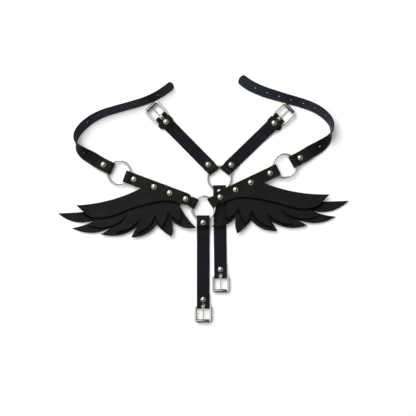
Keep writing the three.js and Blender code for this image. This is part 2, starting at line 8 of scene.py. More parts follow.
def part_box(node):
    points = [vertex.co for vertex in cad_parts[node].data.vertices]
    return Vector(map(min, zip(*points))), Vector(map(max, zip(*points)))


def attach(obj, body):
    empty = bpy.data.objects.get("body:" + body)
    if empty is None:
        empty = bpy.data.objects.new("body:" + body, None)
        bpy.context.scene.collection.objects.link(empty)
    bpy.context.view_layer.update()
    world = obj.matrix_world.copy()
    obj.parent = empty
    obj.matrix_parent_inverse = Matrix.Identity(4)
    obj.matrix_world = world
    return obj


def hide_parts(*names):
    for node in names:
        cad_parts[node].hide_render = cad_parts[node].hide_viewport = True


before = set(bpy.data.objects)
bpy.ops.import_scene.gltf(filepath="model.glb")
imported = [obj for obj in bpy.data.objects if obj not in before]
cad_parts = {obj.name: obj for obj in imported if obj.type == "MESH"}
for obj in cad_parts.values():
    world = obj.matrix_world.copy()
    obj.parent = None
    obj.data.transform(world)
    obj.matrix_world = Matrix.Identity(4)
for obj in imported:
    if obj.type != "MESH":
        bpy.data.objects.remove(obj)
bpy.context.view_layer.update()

# Places are in millimetres from the centre of the lower ring, as in the part's source
mm = 0.001
lowCorner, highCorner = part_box("lower_ring")
home = np.array([(lowCorner.x + highCorner.x) / 2, (lowCorner.y + highCorner.y) / 2, 0.0])
print("frame loaded, lower ring at", home)

leather = {
    "thick": 1.6,
    "gap": 0.3,
    "rim": 0.4,  # rounding of a cut edge
    "punchRim": 0.12,  # and of a punched hole
    "border": 0.95,  # loop of points inside the rounding
    "ease": 0.55,  # how softly a fold starts and ends
    "foldRoom": 0.975,
    "step": 1.1,  # points along an edge
    "rimRoom": 0.35,  # rounding and border as shares of the room at a corner
    "borderRoom": 0.75,
    "gridClear": 0.45,  # shares of a grid step kept clear along a loop
}
half = leather["thick"] / 2
layerStep = leather["thick"] + leather["gap"]
wireRadius = 1.5
ringRadius = 17.5
foldRadius = wireRadius + leather["gap"] + half
slope = foldRadius * math.sqrt(0.5)
landing = 2 * slope + foldRadius - layerStep
upperWire = leather["thick"] + leather["gap"] + wireRadius
lowerWire = upperWire + layerStep
upperRing = np.array([23.9, 45.0])


upright = np.array([0.0, 0.0, 1.0])


def heading(degrees):
    turn = math.radians(degrees)
    return np.array([math.cos(turn), math.sin(turn)])


def headingAxes(degrees):
    # ahead and to the left of a direction on the floor
    x, y = heading(degrees)
    return np.array([x, y, 0.0]), np.array([-y, x, 0.0])


def unit(rows):
    return rows / np.linalg.norm(rows, axis=1)[:, None]


def runAlong(line):
    return np.concatenate([[0], np.cumsum(np.linalg.norm(np.diff(line, axis=0), axis=1))])


def eased(share):
    share = np.clip(share, 0, 1)
    return share ** 2 * (3 - 2 * share)


# Camera straight above, as the photograph is read
view = {"imageCentre": (6.9, 0.0), "height": 1200.0, "span": 624.0, "sensor": 36.0}


def makeCamera():
    data = bpy.data.cameras.new("overhead")
    data.sensor_width = view["sensor"]
    data.lens = view["sensor"] * view["height"] / view["span"]
    data.clip_end = 20
    camera = bpy.data.objects.new("overhead", data)
    bpy.context.scene.collection.objects.link(camera)
    x, y = view["imageCentre"]
    camera.location = Vector(home) + Vector((x, y, view["height"])) * mm
    bpy.context.scene.camera = camera


# Node helpers

def nodeIn(tree, kind, inputs=None, **settings):
    node = tree.nodes.new(kind)
    for key, value in settings.items():
        setattr(node, key, value)
    for key, value in (inputs or {}).items():
        if hasattr(value, "is_output"):
            tree.links.new(value, node.inputs[key])
        else:
            node.inputs[key].default_value = value
    return node


def ramp(tree, value, stops):
    node = nodeIn(tree, "ShaderNodeValToRGB", {0: value})
    elements = node.color_ramp.elements
    while len(elements) < len(stops):
        elements.new(0.5)
    for element, (place, shade) in zip(elements, stops):
        element.position = place
        element.color = (shade, shade, shade, 1)
    return node.outputs["Color"]


def maths(tree, operation, first, second=0.0, clamp=False):
    node = nodeIn(tree, "ShaderNodeMath", {0: first, 1: second}, operation=operation, use_clamp=clamp)
    return node.outputs[0]


def noise(tree, place, scale, detail, **more):
    inputs = {"Vector": place, "Scale": scale, "Detail": detail, **more}
    return nodeIn(tree, "ShaderNodeTexNoise", inputs).outputs


def mixColour(tree, share, first, second):
    return nodeIn(tree, "ShaderNodeMix", {0: share, 6: first, 7: second}, data_type="RGBA").outputs[2]


def shaderOf(name):
    material = bpy.data.materials.new(name)
    material.use_nodes = True
    tree = material.node_tree
    return material, tree, tree.nodes["Principled BSDF"]


# Leather, patterned on the flat hide each piece was cut from
hide = {
    "grain": 0.85,  # pebbles to a millimetre
    "sway": 0.9,  # how far the pebbles wander
    "pores": 5.0,
    "cloud": 0.035,
    "bumpHeight": 0.00011,
    # colour of the painted shade under a layer's edge
    "paintedShadeColour": (0.0006, 0.0006, 0.0006, 1),
    "paintedShadeDepth": 0.95,  # how dark the painted shade is under a layer's edge
    "overlapReach": 1.5,
    "overlapFall": (0.9, 1.3),  # the painted shade lies on the lower, inner side of an edge
}


def leatherMaterial(name, look):
    material, tree, shader = shaderOf(name)
    place = nodeIn(tree, "ShaderNodeAttribute", attribute_name="hidePlace").outputs["Vector"]
    bend, rim, overlap = (nodeIn(tree, "ShaderNodeAttribute", attribute_name=key).outputs["Fac"]
                          for key in ("bend", "rim", "overlap"))

    def times(first, second):
        return maths(tree, "MULTIPLY", first, second)

    # pebbles, pores and creases
    sway = noise(tree, place, 0.6, 2.0)["Color"]
    swayed = nodeIn(tree, "ShaderNodeVectorMath", {0: sway, 1: (hide["sway"],) * 3}, operation="MULTIPLY")
    bent = nodeIn(tree, "ShaderNodeVectorMath", {0: place, 1: swayed.outputs[0]}, operation="ADD").outputs[0]
    cells = nodeIn(tree, "ShaderNodeTexVoronoi", {"Vector": bent, "Scale": hide["grain"]},
                   feature="DISTANCE_TO_EDGE")
    pebble = ramp(tree, cells.outputs["Distance"], [(0.0, 0.0), (0.12, 0.62), (0.4, 1.0)])
    pores = noise(tree, place, hide["pores"], 3.0)["Fac"]
    across = nodeIn(tree, "ShaderNodeMapping", {"Vector": place, "Scale": (3.2, 0.34, 1.0)}).outputs[0]
    crease = noise(tree, across, 1.0, 4.0, Distortion=0.6)["Fac"]
    folded = times(ramp(tree, crease, [(0.38, 0.0), (0.62, 1.0)]), bend)
    height = maths(tree, "ADD", times(pebble, look["grainDepth"]), times(pores, 0.35))
    height = maths(tree, "ADD", height, times(folded, 1.6))
    bump = nodeIn(tree, "ShaderNodeBump", {"Height": height, "Strength": 0.55, "Distance": hide["bumpHeight"]})

    # leather tone, worn edges and the painted shade under the edges of the layers above
    cloud = noise(tree, place, hide["cloud"], 5.0, Roughness=0.62)["Fac"]
    patch = ramp(tree, cloud, [(0.34, 0.0), (0.68, 1.0)])
    deep, pale, worn = ((*look[key], 1) for key in ("deep", "pale", "worn"))
    colour = mixColour(tree, patch, deep, pale)
    colour = mixColour(tree, times(maths(tree, "SUBTRACT", 1.0, pebble), 0.45), colour, deep)
    scuff = noise(tree, place, 0.42, 6.0, Roughness=0.7)["Fac"]
    rubbed = ramp(tree, scuff, [(0.5, 0.1), (0.72, 0.6)])
    colour = mixColour(tree, times(maths(tree, "MAXIMUM", rim, folded), rubbed), colour, worn)
    # painted shade: the base colour darkens under the edges of the layers above
    colour = mixColour(tree, times(overlap, hide["paintedShadeDepth"]), colour, hide["paintedShadeColour"])
    low, high = look["rough"]
    roughness = nodeIn(tree, "ShaderNodeMapRange", {"Value": pores, "To Min": low, "To Max": high}).outputs[0]
    shine = maths(tree, "SUBTRACT", roughness, times(patch, 0.08))
    shine = maths(tree, "ADD", shine, times(overlap, 0.3), clamp=True)
    tree.links.new(colour, shader.inputs["Base Color"])
    tree.links.new(shine, shader.inputs["Roughness"])
    tree.links.new(bump.outputs[0], shader.inputs["Normal"])
    shader.inputs["Specular IOR Level"].default_value = look["specular"]
    return material


# Bright nickel plate with fine rubbing marks, and a darker copy of it for the rollers as painted shade
plates = {
    "bright": {"colour": (0.40, 0.389, 0.347), "tarnish": (0.26, 0.25, 0.215), "rough": (0.10, 0.18)},
    "roller": {"colour": (0.17, 0.165, 0.15), "tarnish": (0.10, 0.097, 0.085), "rough": (0.10, 0.2)},
}


def nickelMaterial(name, plate):
    material, tree, shader = shaderOf(name)
    place = nodeIn(tree, "ShaderNodeTexCoord").outputs["Object"]
    scaled = nodeIn(tree, "ShaderNodeMapping", {"Vector": place, "Scale": (1 / mm,) * 3}).outputs[0]
    haze = noise(tree, scaled, 0.35, 5.0, Roughness=0.65)["Fac"]
    streak = nodeIn(tree, "ShaderNodeMapping", {"Vector": scaled, "Scale": (0.5, 5.0, 5.0),
                                                "Rotation": (0.2, 0.4, 0.7)}).outputs[0]
    rubbed = noise(tree, streak, 1.6, 4.0)["Fac"]
    dull = ramp(tree, haze, [(0.45, 0.0), (0.75, 0.5)])
    colour = mixColour(tree, dull, (*plate["colour"], 1), (*plate["tarnish"], 1))
    low, high = plate["rough"]
    rough = nodeIn(tree, "ShaderNodeMapRange", {"Value": rubbed, "From Min": 0.3, "From Max": 0.7,
                                                "To Min": low, "To Max": high})
    bump = nodeIn(tree, "ShaderNodeBump", {"Height": rubbed, "Strength": 0.06, "Distance": 0.00003})
    tree.links.new(colour, shader.inputs["Base Color"])
    tree.links.new(rough.outputs[0], shader.inputs["Roughness"])
    tree.links.new(bump.outputs[0], shader.inputs["Normal"])
    shader.inputs["Metallic"].default_value = 1.0
    return material


leatherLooks = {
    "leather_grain_side": {
        "deep": (0.0046, 0.0052, 0.0041), "pale": (0.0094, 0.0103, 0.0084), "worn": (0.020, 0.021, 0.018),
        "rough": (0.46, 0.66), "grainDepth": 1.0, "specular": 0.07,
    },
    "leather_flesh_side": {
        "deep": (0.0046, 0.0053, 0.0066), "pale": (0.0086, 0.0098, 0.0125), "worn": (0.018, 0.020, 0.024),
        "rough": (0.6, 0.8), "grainDepth": 0.45, "specular": 0.07,
    },
    # a lighter copy of the flesh side for the side straps: painted light on faces that lean away from the key
    "leather_painted_light_flesh": {
        "deep": (0.0165, 0.0186, 0.0235), "pale": (0.0265, 0.0300, 0.0385), "worn": (0.037, 0.041, 0.049),
        "rough": (0.55, 0.75), "grainDepth": 0.45, "specular": 0.1,
    },
    # the cut edge is near black: the edge's own dark colour, deepened as painted shade along the layers' edges
    "leather_cut_edge": {
        "deep": (0.0016, 0.0017, 0.0015), "pale": (0.0036, 0.0037, 0.0034), "worn": (0.009, 0.009, 0.008),
        "rough": (0.5, 0.7), "grainDepth": 0.35, "specular": 0.06,
    },
}
grainSide, fleshSide, litFleshSide, cutEdge = (leatherMaterial(*item) for item in leatherLooks.items())
nickel = nickelMaterial("nickel_plate", plates["bright"])
rollerShadedNickel = nickelMaterial("nickel_roller_shaded", plates["roller"])
print("materials made")


# Flat leather work: an outline with holes, cut from the hide with rounded edges and laid along a shape

def openLoop(points, step):
    # a closed loop with its long sides divided
    loop = []
    points = np.asarray(points, float)
    for start, end in zip(points, np.roll(points, -1, axis=0)):
        length = np.linalg.norm(end - start)
        count = math.ceil(length / step) if length > 0.02 else 0
        loop.extend(start + (end - start) * i / count for i in range(count))
    return np.array(loop)


def loopArea(loop):
    x, y = loop.T
    return 0.5 * np.sum(x * np.roll(y, -1) - np.roll(x, -1) * y)


def insideLoop(points, loop):
    x, y = points.T
    inside = np.zeros(len(points), bool)
    for (x0, y0), (x1, y1) in zip(loop, np.roll(loop, -1, axis=0)):
        if y0 != y1:
            crosses = (y0 > y) != (y1 > y)
            inside ^= crosses & (x < (x1 - x0) * (y - y0) / (y1 - y0) + x0)
    return inside


def awayFrom(points, loop):
    away = np.full(len(points), np.inf)
    for start, end in zip(loop, np.roll(loop, -1, axis=0)):
        along = end - start
        share = np.clip(((points - start) @ along) / max(along @ along, 1e-12), 0, 1)
        away = np.minimum(away, np.linalg.norm(points - start - share[:, None] * along, axis=1))
    return away


def inwardNormals(loop):
    total = np.zeros_like(loop)
    for edge in (loop - np.roll(loop, 1, axis=0), np.roll(loop, -1, axis=0) - loop):
        total += np.stack([-edge[:, 1], edge[:, 0]], 1) / np.linalg.norm(edge, axis=1)[:, None]
    return total / np.maximum(np.linalg.norm(total, axis=1), 1e-6)[:, None]


def roomInside(loop, normals, reach=6.0):
    # radius of the largest circle in the piece that touches its edge at each point
    room = np.full(len(loop), reach)
    for i, (point, normal) in enumerate(zip(loop, normals)):
        offset = loop - point
        deep = offset @ normal
        facing = deep > 1e-3
        if facing.any():
            room[i] = min(reach, (np.sum(offset[facing] ** 2, axis=1) / (2 * deep[facing])).min())
    around = np.stack([np.roll(room, k) * (1 + 0.25 * abs(k)) for k in range(-4, 5)])
    return around.min(0)


def overlapShade(points, above):
    # painted shade under the outlines of the layers that lie on a piece, the nearest first
    shade = np.zeros(len(points))
    for level, (outline, hand) in enumerate(above, 1):
        moved = points + level * np.array(hide["overlapFall"]) * (hand, 1)
        away = np.where(insideLoop(moved, outline), 0, awayFrom(moved, outline))
        shade = np.maximum(shade, np.exp(-(away / (level * hide["overlapReach"])) ** 2))
    return shade


def gridInside(inner, low, high, gridStep):
    counts = np.maximum(np.ceil((high - low) / gridStep).astype(int), 1)
    lines = [np.linspace(low[k], high[k], counts[k] + 1) for k in (0, 1)]
    grid = np.stack(np.meshgrid(*lines), -1).reshape(-1, 2)
    for i, loop in enumerate(inner):
        grid = grid[insideLoop(grid, loop) == (i == 0)]
    for loop in inner:
        grid = grid[awayFrom(grid, loop) > leather["gridClear"] * min(gridStep)]
    return grid


def flatTriangles(inner, grid):
    # points and triangles of the flat face, and where each point of the inner loops went
    edges = []
    start = 0
    for loop in inner:
        edges += [(start + i, start + (i + 1) % len(loop)) for i in range(len(loop))]
        start += len(loop)
    corners = [Vector(p) for p in np.vstack(inner + [grid])]
    cut = geometry.delaunay_2d_cdt(corners, edges, [], 1, 1e-7)
    flat, triangles = np.array([v[:] for v in cut[0]]), np.array(cut[2])
    where = {old: new for new, olds in enumerate(cut[3]) for old in olds}
    middles = flat[triangles].mean(1)
    for loop in inner[1:]:
        keep = ~insideLoop(middles, loop)
        triangles, middles = triangles[keep], middles[keep]
    a, b, c = (flat[triangles[:, k]] for k in range(3))
    turned = (b[:, 0] - a[:, 0]) * (c[:, 1] - a[:, 1]) - (b[:, 1] - a[:, 1]) * (c[:, 0] - a[:, 0]) < 0
    triangles[turned] = triangles[turned][:, ::-1]
    return flat, triangles, where


def leatherPiece(node, outline, place, faces, gridStep, holes=(), bendAt=None,
                 step=leather["step"], above=None):
    loops = [openLoop(outline, step)] + [openLoop(hole, step) for hole in holes]
    loops = [loop if (loopArea(loop) > 0) == (i == 0) else loop[::-1] for i, loop in enumerate(loops)]
    normals = [inwardNormals(loop) for loop in loops]
    rooms = [roomInside(loop, normal) for loop, normal in zip(loops, normals)]
    roundings = [leather["rim"]] + [leather["punchRim"]] * len(holes)
    rims = [np.minimum(rounding, leather["rimRoom"] * room)[:, None]
            for rounding, room in zip(roundings, rooms)]
    borders = [np.minimum(leather["border"], leather["borderRoom"] * room)[:, None] for room in rooms]
    inner = [loop + normal * border for loop, normal, border in zip(loops, normals, borders)]
    grid = gridInside(inner, loops[0].min(0), loops[0].max(0), gridStep)
    flat, triangles, where = flatTriangles(inner, grid)
    count = len(flat)
    spots = [np.column_stack([flat, np.full(count, half)]), np.column_stack([flat, np.full(count, -half)])]
    polygons = [tuple(t) for t in triangles] + [tuple(t[::-1] + count) for t in triangles]
    sides = [0] * len(triangles) + [1] * len(triangles)

    # rounded edge: border loop, rounding and cut face, from the top down to the underside
    total = 2 * count
    first = 0
    for loop, normal, rimWidth, rounding in zip(loops, normals, rims, roundings):
        size = len(loop)
        profile = [(1.0, half), (0.3, half - 0.3 * rounding), (0.0, half - rounding),
                   (0.0, rounding - half), (0.3, 0.3 * rounding - half), (1.0, -half)]
        rows = [[where[first + i] for i in range(size)]]
        for share, height in profile:
            spots.append(np.column_stack([loop + normal * rimWidth * share, np.full(size, height)]))
            rows.append(list(range(total, total + size)))
            total += size
        rows.append([where[first + i] + count for i in range(size)])
        for level, (upper, lower) in enumerate(zip(rows, rows[1:])):
            side = 0 if level == 0 else 1 if level == len(rows) - 2 else 2
            for i in range(size):
                k = (i + 1) % size
                polygons.append((lower[i], lower[k], upper[k], upper[i]))
                sides.append(side)
        first += size

    spots = np.vstack(spots)
    mesh = bpy.data.meshes.new(f"{node}_leather")
    mesh.from_pydata([tuple(p) for p in place(*spots.T) * mm + home], [], polygons)
    for material in faces:
        mesh.materials.append(material)
    mesh.polygons.foreach_set("material_index", sides)
    mesh.polygons.foreach_set("use_smooth", [True] * len(sides))
    marks = {
        "bend": np.zeros(total) if bendAt is None else bendAt(spots[:, 0]),
        "rim": np.arange(total) >= 2 * count,
    }
    if above:
        # painted shade on the top face, under the edges of the layers above
        marks["overlap"] = overlapShade(spots[:, :2], above) * (spots[:, 2] > 0)
    for key, values in marks.items():
        mesh.attributes.new(key, "FLOAT", "POINT").data.foreach_set("value", values.astype(np.float32))
    hidePlace = mesh.attributes.new("hidePlace", "FLOAT_VECTOR", "POINT")
    hidePlace.data.foreach_set("vector", spots.astype(np.float32).ravel())
    mesh.validate()
    piece = bpy.data.objects.new(f"{node}_leather", mesh)
    bpy.context.scene.collection.objects.link(piece)
    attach(piece, "root")
    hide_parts(node)


# Paths that a strap follows, smoothed where it folds

def easedLine(rows, spread, step=0.2):
    rows = np.asarray(rows, float)
    run = runAlong(rows)
    count = max(int(run[-1] / step), 8)
    even = np.linspace(0, run[-1], count + 1)
    line = np.stack([np.interp(even, run, column) for column in rows.T], 1)
    return easedColumns(line, spread / step)


def easedColumns(line, spread):
    reach = int(math.ceil(3 * spread))
    weights = np.exp(-0.5 * (np.arange(-reach, reach + 1) / spread) ** 2)
    weights /= weights.sum()
    head = 2 * line[0] - line[reach:0:-1]
    tail = 2 * line[-1] - line[-2:-reach - 2:-1]
    padded = np.vstack([head, line, tail])
    return np.stack([np.convolve(column, weights, mode="valid") for column in padded.T], 1)


def pathOf(centre, side, up=None):
    run = runAlong(centre)
    tangent = unit(np.gradient(centre, run, axis=0))
    curve = np.linalg.norm(np.gradient(tangent, run, axis=0), axis=1)
    return {"run": run, "centre": centre, "side": side, "up": np.cross(tangent, side) if up is None else up,
            "bend": np.clip(curve * foldRadius, 0, 1), "length": run[-1]}


def alongPath(path):
    def place(a, b, h):
        read = lambda table: np.stack([np.interp(a, path["run"], column) for column in table.T], 1)
        return read(path["centre"]) + b[:, None] * read(path["side"]) + h[:, None] * read(path["up"])
    return place


def bendAlong(path):
    return lambda a: np.interp(a, path["run"], path["bend"])


def uprightPath(rows, origin, angle):
    # rows of distance and height in an upright plane; side is to the left of the direction
    line = easedLine(rows, leather["ease"])
    ahead, left = headingAxes(angle)
    centre = np.array([*origin, 0.0]) + line[:, :1] * ahead + line[:, 1:] * upright
    path = pathOf(centre, np.tile(left, (len(line), 1)))
    path["along"] = line[:, 0]
    return path


def foldRows(along, height, start, end, steps=14):
    turns = np.radians(np.linspace(start, end, steps + 1))
    return [(along + foldRadius * math.cos(t), height + foldRadius * math.sin(t)) for t in turns]


def foldPlace(width):
    # how far from a ring's centre a fold of this half width lies against the wire
    return math.sqrt((ringRadius - wireRadius) ** 2 * leather["foldRoom"] - width ** 2) + wireRadius


def barFold(bar, height, landHeight):
    back = [(bar - slope, height + slope), (bar - 2 * slope - height + landHeight, landHeight)]
    return foldRows(bar, height, -90, 90) + back


def strapOutline(path, rightAt, leftAt=None, startCorner=1.6, endCorner=1.6, step=1.0):
    # both edges of a strap, with its ends rounded off
    length = path["length"]
    a = np.linspace(0, length, max(int(length / step), 12) + 1)
    right, left = rightAt(a), (leftAt or rightAt)(a)
    for centre, corner in ((0.0, startCorner), (length, endCorner)):
        near = np.minimum(np.abs(a - centre), corner)
        inset = corner - np.sqrt(np.maximum(corner ** 2 - (corner - near) ** 2, 0))
        right, left = right - inset, left - inset
    return list(zip(a, -right)) + list(zip(a[::-1], left[::-1]))


def alongWidth(path, places, widths):
    return lambda a: np.interp(np.interp(a, path["run"], path["along"]), places, widths)


def circle(x, y, radius, count=20):
    turns = np.linspace(0, 2 * math.pi, count, endpoint=False)
    return [(x + radius * math.cos(t), y + radius * math.sin(t)) for t in turns]


def roundSlot(start, end, width, count=8):
    turns = np.linspace(-math.pi / 2, math.pi / 2, count + 1)
    right = [(end - width + width * math.cos(t), width * math.sin(t)) for t in turns]
    left = [(start + width - width * math.cos(t), -width * math.sin(t)) for t in turns]
    return right + left


def barSlot(path, bar, reach, width):
    # the prong's slot, from under the bar round to the flap above it
    beyond = np.flatnonzero(path["along"] > bar - reach)
    return roundSlot(path["run"][beyond[0]], path["run"][beyond[-1]], width)


upFlesh = (fleshSide, grainSide, cutEdge)
upGrain = (grainSide, fleshSide, cutEdge)
# the side straps' flesh side uses the lighter copy: painted light
upLitFlesh = (grainSide, litFleshSide, cutEdge)


# V straps, and the keeper loop at each buckle
vStrap = {
    "half": 9.3, "shift": 2.0, "fold": 13.73, "flapEnd": 34.4, "rivetLow": 26.1, "rivetHigh": 115.6,
    "riseFrom": 84.0, "riseTo": 104.0, "bar": 125.4, "backFlapEnd": 105.7, "slotReach": 4.7, "slotHalf": 2.4,
    "loopInner": 8.5, "loopOuter": 9.2, "loopLean": 0.126, "leanFrom": 32.0, "leanOver": 14.0,
}
keeper = {
    "leather": 1.1, "from": 111.6, "to": 120.6, "bulge": 2.6, "snug": 0.5,
    "flat": 0.4, "seam": 0.02, "ease": 0.3, "steps": 120,
    "narrowAt": [9.3, 10.5, 11.6, 12.4, 12.9], "narrow": [1.0, 0.96, 0.82, 0.62, 0.5],
}
vSides = {"left": (134.6, 1), "right": (44.0, -1)}  # direction, sign of the outer side
vRaised = half + layerStep
vBackFlap = vRaised + leather["thick"] + 2 * leather["gap"] + keeper["leather"]
vBarHeight = lowerWire


def vOrigin(side):
    angle, outer = vSides[side]
    return upperRing + vStrap["shift"] * heading(angle - outer * 90)


def makeVStrap(side):
    angle, outer = vSides[side]
    rows = [(vStrap["flapEnd"], vRaised), (ringRadius + landing, vRaised),
            (ringRadius + slope, upperWire + slope), (ringRadius, upperWire + foldRadius)]
    rows += foldRows(vStrap["fold"], upperWire, 90, 270)
    rows += [(vStrap["riseFrom"], half), (vStrap["riseTo"], vRaised)]
    rows += barFold(vStrap["bar"], vBarHeight, vBackFlap)
    rows += [(keeper["from"], vBackFlap), (vStrap["backFlapEnd"], vRaised + layerStep)]
    path = uprightPath(rows, vOrigin(side), angle)
    spread = [ringRadius, ringRadius + landing + 2]
    edges = [alongWidth(path, spread, [vStrap[loop], vStrap["half"]])
             for loop in ("loopInner", "loopOuter")]
    slot = barSlot(path, vStrap["bar"], vStrap["slotReach"], vStrap["slotHalf"])
    straight = alongPath(path)

    def place(a, b, h):
        # the fold lies along the ring's wire, a little askew to the strap
        near = vStrap["leanFrom"] - np.interp(a, path["run"], path["along"])
        askew = vStrap["loopLean"] * (outer * b + vStrap["loopInner"]) * eased(near / vStrap["leanOver"])
        return straight(a, b, h) + askew[:, None] * headingAxes(angle)[0]

    leatherPiece(f"v_strap_{side}", strapOutline(path, *edges[::outer]), place, upFlesh, (1.2, 2.3),
                 [slot], bendAlong(path))


def makeKeeper(side):
    angle, outer = vSides[side]
    thin = keeper["leather"]
    snug = -outer * (vStrap["half"] + keeper["snug"])
    loose = outer * (vStrap["half"] + keeper["bulge"])
    left, right = min(snug, loose) - thin / 2, max(snug, loose) + thin / 2
    low, high = thin / 2, 2 * leather["thick"] + 2 * leather["gap"] + thin / 2
    corner = (high - low - keeper["flat"]) / 2
    rows = [(0.0, high)]
    for y, z, start in ((left + corner, high - corner, 90), (left + corner, low + corner, 180),
                        (right - corner, low + corner, 270), (right - corner, high - corner, 0)):
        turns = np.radians(np.linspace(start, start + 90, 7))
        rows += [(y + corner * math.cos(t), z + corner * math.sin(t)) for t in turns]
    rows += [(keeper["seam"], high)]
    line = easedLine(rows, keeper["ease"])
    ahead, across = headingAxes(angle)
    middle = np.array([*vOrigin(side), 0.0]) + ahead * (keeper["from"] + keeper["to"]) / 2
    path = pathOf(middle + line[:, :1] * across + line[:, 1:] * upright, np.tile(ahead, (len(line), 1)))
    path["up"] = path["up"] * thin / leather["thick"]
    a = np.linspace(0, path["length"], keeper["steps"] + 1)
    outward = outer * np.interp(a, path["run"], line[:, 0])
    widths = (keeper["to"] - keeper["from"]) / 2 * np.interp(outward, keeper["narrowAt"], keeper["narrow"])
    outline = list(zip(a, -widths)) + list(zip(a[::-1], widths[::-1]))
    leatherPiece(f"v_keeper_{side}", outline, alongPath(path), upGrain, (0.7, 2.2),
                 bendAt=bendAlong(path), step=0.7)


# Hanging straps, from the lower ring in front and the upper ring behind
hanging = {
    "half": 9.5, "bar": 147.0, "rivet": 137.0, "flapEnd": 127.5, "settleFrom": 33.0, "settleTo": 52.0,
    "slotReach": 4.7, "slotHalf": 2.4,
    "front": {"origin": (-0.3, 0.0), "angle": -90.0, "wire": lowerWire,
              "rivet": 21.6, "bend": 26.0, "end": 31.0},
    "back": {"origin": tuple(upperRing), "angle": -89.3, "wire": upperWire,
             "rivet": 20.8, "bend": None, "end": 24.9},
}


def makeHangingStrap(which):
    strap = hanging[which]
    wire = strap["wire"]
    top, low = wire + foldRadius, wire - foldRadius
    rows = [(strap["end"], top)]
    if strap["bend"]:
        rows = [(strap["end"], low + layerStep), (strap["bend"], top)]
    rows += foldRows(foldPlace(hanging["half"]), wire, 90, 270)
    rows += [(hanging["settleFrom"], low), (hanging["settleTo"], half)]
    rows += barFold(hanging["bar"], upperWire, half + layerStep)
    rows += [(hanging["flapEnd"], half + layerStep)]
    path = uprightPath(rows, strap["origin"], strap["angle"])
    widthAt = lambda a: np.full(len(a), hanging["half"])
    slot = barSlot(path, hanging["bar"], hanging["slotReach"], hanging["slotHalf"])
    leatherPiece(f"{which}_strap", strapOutline(path, widthAt), alongPath(path), upFlesh, (1.2, 2.4),
                 [slot], bendAlong(path))


# Wings
wing = {
    "tabReach": 29.6, "tongueHalf": 3.6, "tabHalf": 8.0, "tabNeck": 25.0, "tabNeckHalf": 5.4,
    "tabShoulder": 20.5, "outerRing": 107.4, "reach": 172.0,
    "bandEnd": 9.0, "bandHalf": 8.9, "bandMiddle": -0.4, "bandFrom": 1.0, "bandMargin": 0.4,
    "rivets": (0.0, 25.5, 50.5, 82.8), "notch": 68.3, "hollow": 5.2, "flapPast": 8.0, "curlSpread": 9.0,
    "freeFrom": 12,  # point of the cover's lower edge where it comes free
    "edgeLift": 0.55, "edgeSoft": 6.0, "liftFrom": 14.0, "liftOver": 14.0,
    "tipLift": 0.9, "tipSpread": 300.0,
}
wingSides = {
    "left": {"hand": -1, "tabAngle": 152.8, "bandAngle": -20.8, "ringV": 1.6, "strapAngle": 153.5},
    "right": {"hand": 1, "tabAngle": 33.3, "bandAngle": 25.6, "ringV": 0.2, "strapAngle": 27.7},
}
wingLift = lowerWire + foldRadius + half + leather["gap"] - 2 * layerStep
wingTilt = math.asin(wingLift / wing["reach"])
bandTop = wing["bandMiddle"] + wing["bandHalf"]
bandBottom = wing["bandMiddle"] - wing["bandHalf"]

# feather rows: tip u, tip v, bow of the upper edge, root u, root v, bow of the lower edge, curl of the tip
longFeathers = [
    (171.4, -88, -0.6, 116.5, -78.5, 7.8, 0.5),
    (144, -101.3, -1.6, 90.5, -80.4, 7.5, -0.5),
    (100, -94.6, -0.6, 52.9, -64.8, 6.8, 0.45),
    (55.6, -82.7, 0.6, 27.2, -51.1, 5.5, -0.4),
    (-0.2, -60.3, 1.2, 8.3, -37.5, 2, 0.5),
    (-30, -34.7, 5, 5, -12.5, -2, 0.3),
]
middleFeathers = [
    (121.5, -88.2, 0, 73.8, -54.5, 9.6, 0.6),
    (80, -83, -0.3, 52.9, -50, 5, 0.8),
    (50, -73, 1.6, 34, -38, 5, 0.7),
    (18.8, -52.5, 1, 18.6, -26.6, 2.4, 0.8),
    (-4.1, -34.4, 1.6, 5.5, -13.4, 2.4, 0.7),
]
longRoots = [(4, -6), (16, 5), (58, 5), (58, -5), (120, -64.5)]
middleRoots = [(6, -7), (16, 4), (58, 4), (58, -6), (110, -66)]
coverEdge = [
    (9, -9.5), (26, -12.6), (46, -24), (72, -43), (88, -57.7), (105, -69.6), (123.5, -74.8), (149.5, -67),
]


def wingFrame(side):
    spec = wingSides[side]
    turn, lean = math.radians(spec["bandAngle"]), spec["hand"] * wingTilt
    spin = np.array([[math.cos(turn), -math.sin(turn), 0], [math.sin(turn), math.cos(turn), 0], [0, 0, 1]])
    tip = np.array([[math.cos(lean), 0, math.sin(lean)], [0, 1, 0], [-math.sin(lean), 0, math.cos(lean)]])
    origin = np.array([*(wing["tabReach"] * heading(spec["tabAngle"])), wingLift])
    return lambda points: np.asarray(points, float) @ (spin @ tip).T + origin


def bowedEdge(start, end, bow, steps=14):
    start, end = np.array(start, float), np.array(end, float)
    along = end - start
    outward = np.array([-along[1], along[0]]) / np.linalg.norm(along)
    control = (start + end) / 2 + 2 * bow * outward
    shares = np.linspace(0, 1, steps + 1)[1:, None]
    return (1 - shares) ** 2 * start + 2 * shares * (1 - shares) * control + shares ** 2 * end


def featherOutline(rows, roots):
    points = [np.array(roots[-1], float)]
    for tipU, tipV, upperBow, rootU, rootV, lowerBow, curl in rows:
        points += list(bowedEdge(points[-1], (tipU, tipV), upperBow))
        points += list(bowedEdge(points[-1], (rootU, rootV), lowerBow))
    return np.vstack([points, roots[:-1]])


def makeFeathers(side, which, level, rows, roots, above):
    hand = wingSides[side]["hand"]
    toWorld = wingFrame(side)

    def place(x, v, h):
        z = level * layerStep + half + h
        for tipU, tipV, *bows, curl in rows:
            away = (hand * x - tipU) ** 2 + (v - tipV) ** 2
            z = z + curl * np.exp(-away / (2 * wing["curlSpread"] ** 2))
        return toWorld(np.stack([x, v, z], 1))

    leatherPiece(f"wing_{which}_feathers_{side}", featherOutline(rows, roots) * (hand, 1), place, upGrain,
                 (1.6, 1.6), step=1.0, above=[(line * (hand, 1), hand) for line in above])


